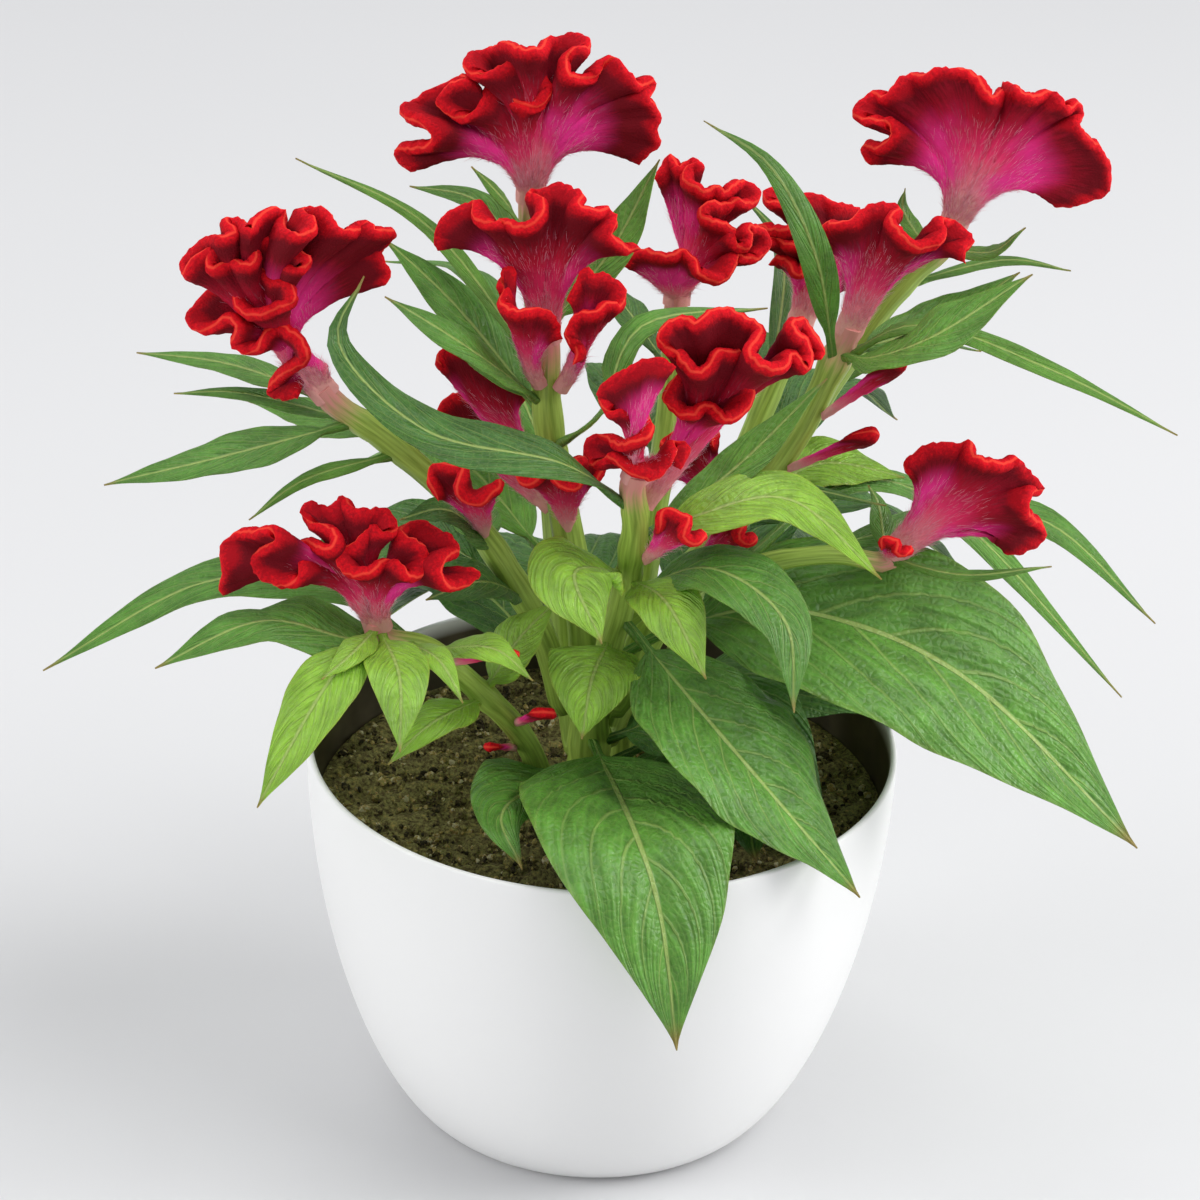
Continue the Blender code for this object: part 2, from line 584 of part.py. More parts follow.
def leaf_sheet(leaf, root):
    """The middle surface of a leaf as a bmesh grid, bent along its midrib."""
    columns, rows = (4, 6) if leaf.width > BROAD_LEAF else (2, 4)
    if leaf.torn_at:
        columns, rows = 4, 8
    shares = [0.0] + [
        leaf.petiole + (1 - leaf.petiole) * (row / (rows - 1)) ** 1.1 for row in range(rows)
    ]
    points = [root] + [np.array(point) * MM for point in leaf.path]
    midrib = smooth_path(points, shares)
    face = unit(np.array(leaf.face))
    half = leaf.width * MM / 2
    bm = bmesh.new()
    bmesh.ops.create_grid(bm, x_segments=columns, y_segments=rows, size=1.0)
    bm.verts.ensure_lookup_table()
    for vertex in bm.verts:
        across = vertex.co.x
        row = round((vertex.co.y + 1) / 2 * rows)
        low, high = max(row - 1, 0), min(row + 1, rows)
        along = unit(midrib[high] - midrib[low])
        side = unit(np.cross(along, face))
        up = np.cross(side, along)
        share = shares[row]
        width = half * leaf_outline(share, leaf.petiole)
        if leaf.torn_at and across > 0:
            width *= 1 - TEAR_DEPTH * max(0.0, 1 - abs(share - leaf.torn_at) / TEAR_LENGTH)
        width = max(width, PETIOLE_HALF_WIDTH if row < rows else TIP_HALF_WIDTH)
        ripple = leaf.wave * math.sin(2.4 * math.tau * share + across) * across**2
        rise = width * (leaf.fold * abs(across) - 0.5 * leaf.fold * across**2 + ripple)
        vertex.co = Vector(midrib[row] + side * width * across + up * rise)
    bmesh.ops.triangulate(bm, faces=bm.faces)
    return bm


def thicken(obj, thickness, weights=None):
    """Turns a sheet into a closed solid, by the same amount on both faces."""
    solidify = obj.modifiers.new("thickness", "SOLIDIFY")
    solidify.thickness = thickness
    solidify.offset = 0.0
    if weights is not None:
        group = obj.vertex_groups.new(name="thickness")
        for index, weight in enumerate(weights):
            group.add([index], weight, "REPLACE")
        solidify.vertex_group = group.name
    apply_modifiers(obj)
    obj.vertex_groups.clear()


def stem_tube(name, skeleton, collection):
    """A tapered tube along a stem's centre line, as a closed mesh."""
    line = skeleton.lines[name]
    start, end = skeleton.radii[name]
    curve = bpy.data.curves.new(name, "CURVE")
    curve.dimensions = "3D"
    curve.bevel_depth = 1.0
    curve.bevel_resolution = STEM_SIDES_RESOLUTION
    curve.use_fill_caps = True
    spline = curve.splines.new("POLY")
    spline.points.add(len(line) - 1)
    for index, (point, place) in enumerate(zip(spline.points, line)):
        point.co = (*place, 1.0)
        point.radius = start + (end - start) * index / (len(line) - 1)
    source = bpy.data.objects.new(name + "_curve", curve)
    collection.objects.link(source)
    bpy.context.view_layer.update()
    graph = bpy.context.evaluated_depsgraph_get()
    mesh = bpy.data.meshes.new_from_object(source.evaluated_get(graph))
    bm = bmesh.new()
    bm.from_mesh(mesh)
    bmesh.ops.remove_doubles(bm, verts=bm.verts, dist=1e-6)
    bpy.data.meshes.remove(mesh)
    bpy.data.objects.remove(source, do_unlink=True)
    return object_from(bm, "leafy_stem_" + name, collection)


def build_leafy_stem(name, skeleton, collection, helpers):
    """A stem with all its leaves sunk in it, joined into one body."""
    made = stem_tube(name, skeleton, collection)
    leaves = bpy.data.collections.new(name + "_leaves")
    helpers.children.link(leaves)
    for leaf in STEMS[name].leaves:
        root = skeleton.at(name, leaf.height * MM)[0]
        blade = object_from(leaf_sheet(leaf, root), "leaf", leaves)
        thicken(blade, LEAF_THICKNESS)
    union = made.modifiers.new("leaves", "BOOLEAN")
    union.operation = "UNION"
    union.operand_type = "COLLECTION"
    union.collection = leaves
    union.solver = "EXACT"
    apply_modifiers(made)
    for blade in list(leaves.objects):
        bpy.data.objects.remove(blade, do_unlink=True)
    bpy.data.collections.remove(leaves)
    drop_scraps(made)
    return made


def drop_scraps(obj):
    """Removes every loose scrap that a union left beside the body."""
    bm = bmesh.new()
    bm.from_mesh(obj.data)
    unseen = set(bm.verts)
    islands = []
    while unseen:
        front = [unseen.pop()]
        island = list(front)
        while front:
            vertex = front.pop()
            nearby = {link.other_vert(vertex) for link in vertex.link_edges} & unseen
            unseen -= nearby
            front += nearby
            island += nearby
        islands.append(island)
    islands.sort(key=len)
    scraps = [vertex for island in islands[:-1] for vertex in island]
    bmesh.ops.delete(bm, geom=scraps, context="VERTS")
    bm.to_mesh(obj.data)
    bm.free()


def comb_frame(comb):
    """The three directions of a comb: across its fan, out of its face and along its axis."""
    up = unit(np.array(comb.axis or STEMS[comb.stem].tip_axis))
    across = np.array(comb.across)
    across = unit(across - up * np.dot(across, up))
    return across, np.cross(across, up), up


def comb_place(comb, side, rise):
    """Offset from the neck, in millimetres across, out and up, of a place on the comb's sheet.

    side runs from -1 to 1 along the crest, and rise from 0 at the neck to 1 at the crest.
    """
    angle = math.radians(comb.spread) * side * (0.30 + 0.70 * rise)
    reach = comb.reach * rise * (1 - comb.drop * abs(side) ** 2.5) * (1 + comb.skew * side)
    swing = comb.depth * rise**5 * (1 + 0.25 * math.sin(5.3 * side + 2.0 * comb.phase))
    turn = math.pi * comb.folds * side + comb.phase + 0.7 * math.sin(2.1 * side + comb.phase)
    out = swing * math.sin(turn) + comb.cup * side**2 * rise
    slide = -0.35 * swing * math.sin(2 * turn)
    reach -= 0.40 * swing * math.sin(turn) ** 2
    sideways = comb.neck * side + reach * math.sin(angle) + slide * math.cos(angle)
    upward = reach * math.cos(angle) - slide * math.sin(angle)
    return sideways, out, upward


def evened(line, reach):
    """A line of evenly spaced places in millimetres, evened out over a reach along it."""
    count = len(line)
    around = np.concatenate([2 * line[0] - line[:0:-1], line, 2 * line[-1] - line[-2::-1]])
    step = np.linalg.norm(np.diff(line, axis=0), axis=1).mean()
    gaps = (np.arange(count)[:, None] + count - 1 - np.arange(3 * count - 2)) * step / reach
    weights = np.exp(-0.5 * gaps**2)
    return weights @ around / weights.sum(axis=1, keepdims=True)


def crest_place(crest, comb, frame, side, rise):
    """Offset from the neck, in millimetres, of a place on a comb that has a set crest.

    crest holds the crest's line and the fan's mean line at many even steps. The fan rises from
    the neck to its mean line, and swings out to the crest only near the lip.
    """
    across, _, up = frame
    shares = np.linspace(-1.0, 1.0, len(crest[0]))
    line, mean = (np.array([np.interp(side, shares, way) for way in path.T]) for path in crest)
    root = across * comb.neck * side
    tall = max(0.0, float(np.dot(mean - root, up)))
    wide = mean - root - tall * up
    arch = FAN_ARCH * np.linalg.norm(wide) * side**4 * math.sin(math.pi * rise**1.2)
    fan = up * (tall * (1 - (1 - rise) ** 1.25) + arch) + wide * rise**1.9
    return root + fan + (line - mean) * rise**3.6


def comb_seat(comb, skeleton, frame):
    """Where a comb's neck starts: on its stem's end, or a gap clear of its stem's side."""
    if not comb.at_height:
        return np.array(STEMS[comb.stem].places[-1]) * MM
    across, out, up = frame
    centre, radius = skeleton.at(comb.stem, comb.at_height * MM)[:2]
    corners = [
        (across * comb.neck * side + out * comb.thick[0] / 2 * face) * MM
        for side in (-1, 0, 1) for face in (-1, 1)
    ]
    return skeleton.clear_place(comb.stem, centre + up * radius, up, np.array(corners))


def build_comb(name, comb, skeleton, collection):
    """One comb: a sheet from a thick neck, flat at its foot, to a ruffled crest."""
    frame = comb_frame(comb)
    seat = comb_seat(comb, skeleton, frame)
    neck_thickness, crest_thickness = comb.thick
    columns, crest = comb.columns, None
    if name in CRESTS:
        points = [np.array(point, float) for point in CRESTS[name]]
        line = evened(smooth_path(points, np.linspace(0.0, 1.0, 301)), CREST_EVEN)
        length = float(np.linalg.norm(np.diff(line, axis=0), axis=1).sum())
        columns = max(6, round(length / CREST_STEP))
        line = smooth_path(list(line[::3]), np.linspace(0.0, 1.0, 301))
        crest = (line, evened(line, FAN_EVEN))
    bm = bmesh.new()
    bmesh.ops.create_grid(bm, x_segments=columns, y_segments=comb.rows, size=1.0)
    weights = []
    for vertex in bm.verts:
        rise = 1 - (1 - (vertex.co.y + 1) / 2) ** 1.9
        if crest:
            offset = crest_place(crest, comb, frame, vertex.co.x, rise)
        else:
            offset = np.array(comb_place(comb, vertex.co.x, rise)) @ np.array(frame)
        thickness = neck_thickness + (crest_thickness - neck_thickness) * min(1.0, 2 * rise)
        weights.append(thickness / max(comb.thick))
        vertex.co = Vector(seat + offset * MM)
    bmesh.ops.triangulate(bm, faces=bm.faces)
    made = object_from(bm, "comb_" + name, collection)
    thicken(made, max(comb.thick) * MM, weights)
    for vertex in made.data.vertices:
        height = np.dot(np.array(vertex.co) - seat, frame[2])
        vertex.co -= Vector(frame[2] * min(0.0, height))
    return made


def main():
    """Builds the potted plant."""
    parts, cutters = fresh_scene("potted_cockscomb_celosia")
    green = material("leaf_green", GREEN, 0.5)
    red = material("comb_red", RED, 0.8)
    skeleton = Skeleton()
    finish(build_pot(parts), material("pot_white", WHITE, 0.35))
    roots = [
        (*skeleton.lines[name][0][:2], skeleton.radii[name][0] + HOLE_PLAY)
        for name, stem in STEMS.items() if not stem.trunk_height
    ]
    finish(build_soil(parts, cutters, roots), material("soil_brown", BROWN, 0.95), 60.0)
    for name in STEMS:
        finish(build_leafy_stem(name, skeleton, parts, cutters), green)
    for name, comb in COMBS.items():
        finish(build_comb(name, comb, skeleton, parts), red)


main()
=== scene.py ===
"""A cockscomb celosia in its pot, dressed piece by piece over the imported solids.

The combs, the leafy stems, the pot and the soil are each modelled at their real size, in metres,
and stand for the solids of the same names. Each comb is one velvet sheet, from a narrow neck to a
ruffled crest, with silky bristles on its fan. Leaves are thin arched blades on ribbed stems.
"""

from __future__ import annotations

import logging
import math
from collections.abc import Callable, Sequence
from dataclasses import dataclass, field
from enum import Enum
from functools import partial
from typing import Any

import bpy
import numpy as np
from mathutils import Matrix, Vector


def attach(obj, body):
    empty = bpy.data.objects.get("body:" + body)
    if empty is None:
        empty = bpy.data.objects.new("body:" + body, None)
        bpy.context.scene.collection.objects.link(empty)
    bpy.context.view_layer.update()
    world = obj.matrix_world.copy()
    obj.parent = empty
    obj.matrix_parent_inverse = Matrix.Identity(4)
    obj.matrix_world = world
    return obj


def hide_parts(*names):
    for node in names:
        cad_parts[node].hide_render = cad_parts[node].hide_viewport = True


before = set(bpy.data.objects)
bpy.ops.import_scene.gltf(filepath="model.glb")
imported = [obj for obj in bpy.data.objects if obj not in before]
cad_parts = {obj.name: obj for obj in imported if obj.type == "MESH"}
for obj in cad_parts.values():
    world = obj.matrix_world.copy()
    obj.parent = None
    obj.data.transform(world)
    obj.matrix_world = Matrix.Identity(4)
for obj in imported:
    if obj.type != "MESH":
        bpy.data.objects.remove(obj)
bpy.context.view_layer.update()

LOG = logging.getLogger("celosia")

MM = 0.001
GAP = 0.3 * MM  # the air between two pieces
BODY = "root"

Array = np.ndarray
Point = tuple[float, float, float]

# Settings that many nodes of the finishes share.
SMOOTH = {"interpolation_type": "SMOOTHSTEP"}
COLOURS = {"data_type": "RGBA", "out": 2}
TINTED = {**COLOURS, "blend_type": "MULTIPLY"}

# A random field is a sum of crossing waves, brought to about 1 by the height they reach together.
WAVES = 6
WAVES_HEIGHT = 3.2

# The number of places that a comb's crest is measured at.
CREST_PLACES = 600


class Tint(Enum):
    """How far a leaf has grown, as the share of young lime green in its colour. The deep end also
    stands for painted shade on leaves that lie in shade.
    """

    # Partly the deep green of grown leaves, partly painted shade: it is given to leaves in shade.
    DEEP = 0.0
    FRESH = 0.45
    YOUNG = 1.0


@dataclass(frozen=True)
class Leaf:
    """One leaf, in mm.

    Attributes:
        height: The height of the place that it leaves its stem from.
        path: The places that its midrib runs through.
        width: The blade's greatest width.
        face: The way that its upper side looks.
        petiole: The share of its length that is stalk.
        wave: How far its margins wave, as a share of half its width.
        fold: How steeply its halves rise from the midrib.
        torn_at: Where one of its halves is torn, as a share of its length.
        tint: Its age, if it isn't its stem's; the deep tint is partly painted shade.
    """

    height: float
    path: tuple[Point, ...]
    width: float
    face: Point = (0.0, -0.35, 1.0)
    petiole: float = 0.14
    wave: float = 0.08
    fold: float = 0.22
    torn_at: float = 0.0
    tint: Tint | None = None


@dataclass(frozen=True)
class Stem:
    """One stem or branch, in mm.

    Attributes:
        places: The places that its centre line runs through.
        radii: Its radius at its foot and at its tip.
        tip_axis: The way that its tip points.
        leaves: Its leaves.
        trunk_height: The height at which it leaves the trunk, if it is a branch.
        tint: The age of its leaves; the deep tint is partly painted shade.
    """

    places: tuple[Point, ...]
    radii: tuple[float, float]
    tip_axis: Point
    leaves: tuple[Leaf, ...] = ()
    trunk_height: float = 0.0
    tint: Tint = Tint.FRESH


@dataclass(frozen=True)
class Comb:
    """One comb, in mm and degrees.

    Attributes:
        stem: The stem that it grows on.
        reach: The length of its fan from the neck to the crest.
        spread: The angle from its middle to each side.
        folds: The number of ruffles along its crest.
        depth: How far the ruffles swing.
        at_height: The height that it leaves the stem's side at, if it isn't on the stem's end.
        axis: The way that its fan rises, if it isn't the stem's.
        neck: Half the width of its neck.
        thick: Its thickness at the neck and at the crest.
        drop: How much shorter its sides are than its middle, as a share.
        skew: How much longer its right side is, and how much shorter its left, as a share.
        cup: How far its sides come forward.
        phase: Where its ruffles start.
        across: The way that its sheet spreads.
        rosy: How pink its fan is.
        arch: How far the sides of a fan with a set crest arch up, as a share of their width.
        splay: How late such a fan spreads on its way up, as a power.
    """

    stem: str
    reach: float
    spread: float
    folds: float
    depth: float
    at_height: float = 0.0
    axis: tuple[float, ...] = ()
    neck: float = 3.6
    thick: tuple[float, float] = (4.6, 3.2)
    drop: float = 0.20
    skew: float = 0.0
    cup: float = 0.0
    phase: float = 0.0
    across: Point = (1.0, 0.0, 0.0)
    rosy: float = 0.35
    arch: float = 0.24
    splay: float = 1.9

# Places are in mm from the middle of the pot's foot: to the right, back and up.
STEMS: dict[str, Stem] = {
    "main": Stem(
        places=((-3, 0, 57), (-3, 0, 90), (-5, 0, 132), (-11, -2, 166), (-16, -4, 195),
                (-17, -5, 218)),
        radii=(5.5, 3.2),
        tip_axis=(-0.08, -0.15, 1.0),
        leaves=(
            Leaf(
                104, ((8, -62, 114), (15, -80, 101), (20, -92, 72)), 51, face=(0.1, -0.35, 1.0),
                wave=0.05,
            ),
            Leaf(122, ((20, -4, 139), (47, -12, 148), (87, -24, 138), (133, -34, 97)), 53,
                 face=(0.2, -0.6, 1.0), petiole=0.20),
            Leaf(101, ((30, -10, 118), (57, -34, 100)), 34, tint=Tint.DEEP),
            Leaf(93, ((50, 10, 117), (90, 14, 102)), 30, tint=Tint.DEEP),
            Leaf(94, ((31, -38, 110), (38, -60, 105)), 40, tint=Tint.DEEP),
            Leaf(95, ((-23, -53, 113), (-18, -70, 107)), 28),
            Leaf(197, ((-36, -19, 219), (-55, -12, 228)), 12),
            Leaf(193, ((-38, 6, 217), (-57, 10, 234)), 16),
            Leaf(186, ((-3, -23, 205), (6, -27, 229), (35, -18, 231)), 9),
            Leaf(204, ((-46, 14, 235), (-79, 22, 249)), 5),
        ),
    ),
    "front": Stem(
        places=((1, -11, 137), (4, -15, 152), (6, -26, 176), (6, -35, 196)),
        radii=(3.4, 3.0),
        tip_axis=(0.2, -0.45, 1.0),
        trunk_height=126,
        leaves=(
            Leaf(146, ((30, -44, 128), (63, -63, 98)), 40, face=(0.2, -0.25, 1.0)),
            Leaf(138, ((-3, -32, 138), (-5, -42, 127)), 24, tint=Tint.YOUNG),
            Leaf(160, ((-8, -35, 168), (-1, -47, 156)), 24, tint=Tint.YOUNG),
            Leaf(158, ((14, -35, 161), (24, -48, 148)), 17, tint=Tint.YOUNG),
            Leaf(152, ((24, -28, 167), (42, -42, 161), (45, -54, 143)), 19, tint=Tint.FRESH),
            Leaf(168, ((21, -26, 180), (43, -22, 183), (65, -34, 169)), 17, tint=Tint.YOUNG),
            Leaf(
                182, ((-12, -42, 200), (-43, -38, 205), (-64, -32, 223), (-59, -24, 238)), 15,
                tint=Tint.DEEP,
            ),
            Leaf(170, ((30, -13, 187), (51, -3, 207)), 12),
            Leaf(172, ((36, -7, 179), (67, -8, 176)), 6, tint=Tint.DEEP),
        ),
    ),
    "left": Stem(
        places=((-17, -6, 139), (-34, -5, 167), (-52, -5, 185), (-71, -5, 201)),
        radii=(3.4, 2.8),
        tip_axis=(-0.8, -0.1, 1.0),
        trunk_height=116,
        leaves=(
            Leaf(192, ((-95, -14, 185), (-122, -18, 179)), 13),
            Leaf(197, ((-94, 10, 199), (-118, 16, 199)), 8),
            Leaf(191, ((-89, 4, 194), (-108, 8, 192)), 6),
            Leaf(184, ((-73, -15, 181), (-87, -20, 172)), 5),
            Leaf(187, ((-75, 14, 185), (-91, 20, 185)), 14),
            Leaf(157, ((-39, -12, 172), (-51, -15, 171)), 13, tint=Tint.DEEP),
            Leaf(150, ((-52, 18, 150), (-88, 32, 130)), 24, tint=Tint.DEEP),
            Leaf(146, ((-31, -18, 156), (-44, -24, 154)), 16, tint=Tint.DEEP),
            Leaf(160, ((-34, 10, 160), (-40, 20, 168)), 12),
        ),
    ),
    "lower_left": Stem(
        places=((-14, -12, 57), (-14, -12, 90), (-19, -18, 112), (-30, -28, 131), (-43, -36, 147),
                (-55, -40, 157)),
        radii=(3.4, 2.6),
        tip_axis=(-0.22, -0.25, 1.0),
        leaves=(
            Leaf(148, ((-67, -22, 155), (-99, -18, 153), (-137, -28, 133)), 14, tint=Tint.FRESH),
            Leaf(
                143, ((-62, -42, 152), (-82, -46, 158), (-106, -54, 149)), 18, torn_at=0.62,
                tint=Tint.FRESH,
            ),
            Leaf(151, ((-64, -58, 150), (-80, -76, 125)), 16),
            Leaf(153, ((-48, -60, 152), (-47, -72, 139)), 15),
            Leaf(129, ((-41, -46, 132), (-51, -54, 125)), 12),
            Leaf(154, ((-60, -54, 154), (-66, -62, 152)), 8),
            Leaf(146, ((-27, -48, 154), (-17, -50, 147)), 10),
            Leaf(149, ((-39, -55, 154), (-33, -62, 147)), 8),
            Leaf(130, ((-21, -26, 145), (-12, -22, 154)), 14),
        ),
        tint=Tint.YOUNG,
    ),
    "right": Stem(
        places=((13, 9, 138), (30, 10, 160), (46, 10, 187), (57, 10, 216)),
        radii=(3.8, 3.2),
        tip_axis=(0.33, -0.1, 1.0),
        trunk_height=112,
        leaves=(
            Leaf(207, ((62, -2, 212), (76, -12, 223), (97, -11, 239)), 18),
            Leaf(207, ((79, 16, 214), (98, 22, 226)), 16),
            Leaf(203, ((72, 0, 220), (104, -8, 213), (134, -18, 202)), 7),
            Leaf(205, ((46, -13, 242), (34, -18, 266), (18, -19, 277)), 8, face=(0.0, -1.0, 0.3)),
            Leaf(165, ((52, 20, 173), (74, 25, 168)), 18, tint=Tint.YOUNG),
        ),
    ),
    "top_right": Stem(
        places=((12, 19, 124), (30, 26, 154), (50, 30, 184), (67, 30, 214), (82, 30, 236)),
        radii=(3.6, 2.8),
        tip_axis=(0.3, -0.1, 1.0),
        trunk_height=102,
        leaves=(
            Leaf(226, ((70, 38, 234), (70, 40, 240)), 5),
            Leaf(228, ((90, 16, 233), (97, 11, 242)), 8),
            Leaf(218, ((95, 36, 223), (112, 34, 222)), 4),
            Leaf(150, ((66, 46, 150), (96, 58, 124)), 26, face=(0.2, 0.3, 1.0), tint=Tint.DEEP),
            Leaf(186, ((72, 46, 196), (94, 56, 190)), 13, face=(0.0, 0.3, 1.0)),
        ),
    ),
    "small_right": Stem(
        places=((8, -4, 143), (30, -9, 157), (52, -10, 163), (71, -10, 166)),
        radii=(2.8, 2.2),
        tip_axis=(0.8, -0.2, 1.0),
        trunk_height=134,
        leaves=(
            Leaf(161, ((80, 5, 165), (108, 8, 165), (137, 0, 142)), 12),
            Leaf(162, ((86, -21, 164), (107, -20, 167)), 4),
            Leaf(157, ((60, 19, 169), (90, 28, 154), (133, 14, 113)), 10),
            Leaf(162, ((66, 0, 171), (63, 1, 177)), 6),
        ),
    ),
    "top": Stem(
        places=((-10, 13, 118), (-13, 17, 147), (-17, 19, 189), (-21, 20, 225), (-22, 20, 244)),
        radii=(3.6, 2.8),
        tip_axis=(0.0, -0.15, 1.0),
        trunk_height=98,
        leaves=(
            Leaf(218, ((-34, 28, 236), (-52, 32, 239)), 9),
            Leaf(229, ((-28, 12, 243), (-36, 10, 253)), 7),
            Leaf(205, ((-2, 26, 226), (9, 30, 249)), 13),
            Leaf(112, ((-38, 45, 123), (-66, 63, 98)), 28, face=(-0.2, 0.3, 1.0), tint=Tint.DEEP),
            Leaf(142, ((-44, 48, 160), (-76, 66, 142)), 28, face=(-0.2, 0.3, 1.0)),
            Leaf(198, ((-38, 42, 212), (-60, 54, 210)), 12, face=(0.0, 0.3, 1.0)),
            Leaf(170, ((-30, 50, 186), (-44, 76, 176)), 20, face=(0.0, 0.3, 1.0)),
        ),
    ),
    "back": Stem(
        places=((5, 17, 57), (5, 17, 82), (6, 22, 108), (10, 32, 140), (14, 41, 176),
                (15, 45, 208)),
        radii=(3.8, 3.0),
        tip_axis=(0.05, 0.1, 1.0),
        leaves=(
            Leaf(118, ((-14, 66, 124), (-30, 98, 92)), 44, face=(0.0, 0.4, 1.0)),
            Leaf(160, ((4, 74, 172), (-4, 100, 154)), 26, face=(0.0, 0.4, 1.0)),
            Leaf(186, ((0, 62, 198), (-10, 80, 196)), 13, face=(0.0, 0.4, 1.0)),
        ),
        tint=Tint.DEEP,
    ),
    "back_right": Stem(
        places=((16, 22, 57), (16, 22, 82), (18, 27, 104), (24, 40, 134), (36, 52, 166),
                (48, 60, 197)),
        radii=(3.4, 2.8),
        tip_axis=(0.3, 0.15, 1.0),
        leaves=(
            Leaf(176, ((43, 80, 204), (31, 86, 220)), 6),
            Leaf(112, ((36, 72, 132), (58, 100, 102)), 38, face=(0.1, 0.4, 1.0)),
            Leaf(150, ((58, 82, 168), (78, 104, 148)), 22, face=(0.2, 0.4, 1.0)),
            Leaf(172, ((34, 80, 182), (24, 98, 174)), 14, face=(0.0, 0.4, 1.0)),
        ),
        tint=Tint.DEEP,
    ),
}


COMBS: dict[str, Comb] = {
    "top": Comb("top", 41, 80, 6, 9.0, drop=0.22, phase=0.4, cup=4, across=(1, 0.15, 0), rosy=0.35),
    "center_upper": Comb(
        "main", 37, 40, 4, 8.0, phase=1.2, cup=5, across=(1, -0.15, 0), rosy=-0.05,
    ),
    "center_lobe_left": Comb(
        "main", 24, 20, 1, 4.0, 200, (-0.35, -0.65, 0.95), 2.0, (3.0, 3.2), rosy=0.9,
    ),
    "center_lobe_right": Comb(
        "main", 26, 24, 1, 4.0, 197, (0.45, -0.45, 1.0), 2.0, (3.0, 3.2), rosy=0.8,
    ),
    "back": Comb(
        "back", 34, 60, 4, 8.0, phase=2.0, cup=3, across=(1, 0.5, 0), rosy=0.45, arch=0.0,
        splay=1.0,
    ),
    "back_right": Comb(
        "back_right", 34, 38, 3, 6.0, phase=0.8, cup=3, across=(1, -0.5, 0), rosy=0.2, arch=0.1,
    ),
    "right_mid": Comb(
        "right", 34, 38, 4, 8.0, skew=0.12, phase=2.4, cup=4, across=(1, 0.2, 0),
    ),
    "top_right": Comb(
        "top_right", 41, 72, 6, 9.0, drop=0.22, phase=3.0, cup=5, across=(1, -0.25, 0), rosy=1,
    ),
    "left": Comb(
        "left", 45, 64, 6, 10.0, drop=0.34, skew=0.32, phase=0.9, cup=5, across=(1, 0.4, 0),
        rosy=0.6,
    ),
    "front_lower": Comb("front", 33, 58, 4, 9.0, phase=0.5, cup=4, across=(1, 0.2, 0)),
    "front_upper": Comb(
        "front", 46, 26, 3, 8.0, 180, (0.66, 0.2, 1.0), 2.4, (3.4, 3.2), phase=1.0,
        across=(1, -0.15, 0),
    ),
    "lower_left": Comb(
        "lower_left", 34, 64, 5, 9.0, drop=0.12, phase=2.2, cup=5, across=(1, -0.2, 0),
        rosy=0.2,
    ),
    "small_right": Comb(
        "small_right", 35, 40, 4, 6.0, phase=1.5, cup=3, across=(1, -0.3, 0), rosy=0.6,
    ),
    "inner_left": Comb("main", 26, 26, 2, 4.0, 176, (-1.0, 0.3, 0.85), 2.0, (3.0, 3.0)),
    "inner_left_low": Comb("main", 25, 28, 2, 4.0, 166, (-1.0, 0.4, 0.65), 2.0, (3.0, 3.0)),
    "side_left": Comb("left", 24, 24, 1, 4.0, 160, (-0.25, -0.6, 1.0), 2.0, (3.0, 3.0)),
    "side_center": Comb("main", 28, 22, 2, 4.0, 158, (-0.1, -0.6, 1.0), 2.0, (3.0, 3.0)),
    "inner_right": Comb("right", 24, 22, 2, 4.0, 162, (-0.7, -0.1, 1.0), 2.0, (3.0, 3.0)),
    "pink_front": Comb("front", 25, 14, 1, 2.5, 160, (0.5, -0.9, 1.0), 1.6, (2.6, 3.0), rosy=0.9),
    "pink_back": Comb("right", 22, 14, 1, 2.5, 146, (0.6, -0.7, 1.0), 1.6, (2.6, 3.0), rosy=0.9),
    "club_upper": Comb("right", 26, 5, 0, 0.0, 186, (1.0, -0.5, 1.1), 1.3, (2.6, 4.4)),
    "club_lower": Comb("right", 26, 5, 0, 0.0, 174, (1.2, -0.7, 0.95), 1.3, (2.6, 4.4)),
    "bud_top_right": Comb(
        "top_right", 7, 6, 0, 0.0, 226, (-0.3, -1.0, 0.9), 0.9, (1.6, 2.2),
    ),
    "bud_small_right": Comb(
        "small_right", 13, 16, 1, 1.5, 162, (0.1, -1.0, 0.8), 1.4, (2.0, 2.6),
    ),
    "strap_left": Comb(
        "lower_left", 14, 6, 0, 0.0, 149, (-1.0, 0.27, -0.10), 1.4, (1.8, 1.8),
    ),
    "strap_right": Comb("lower_left", 20, 6, 0, 0.0, 142, (0.9, -0.6, 0.5), 1.4, (1.8, 1.8)),
    "shoot_low": Comb("lower_left", 18, 8, 0, 0.0, 119, (0.5, -0.9, 0.7), 1.4, (2.2, 2.4)),
    "bud_low": Comb("lower_left", 9, 8, 0, 0.0, 110, (-0.8, -0.9, 0.5), 1.2, (2.0, 2.6)),
    "bud_center": Comb("main", 14, 5, 0, 0.0, 148, (-0.6, -0.9, 0.9), 1.1, (1.8, 2.0)),
}


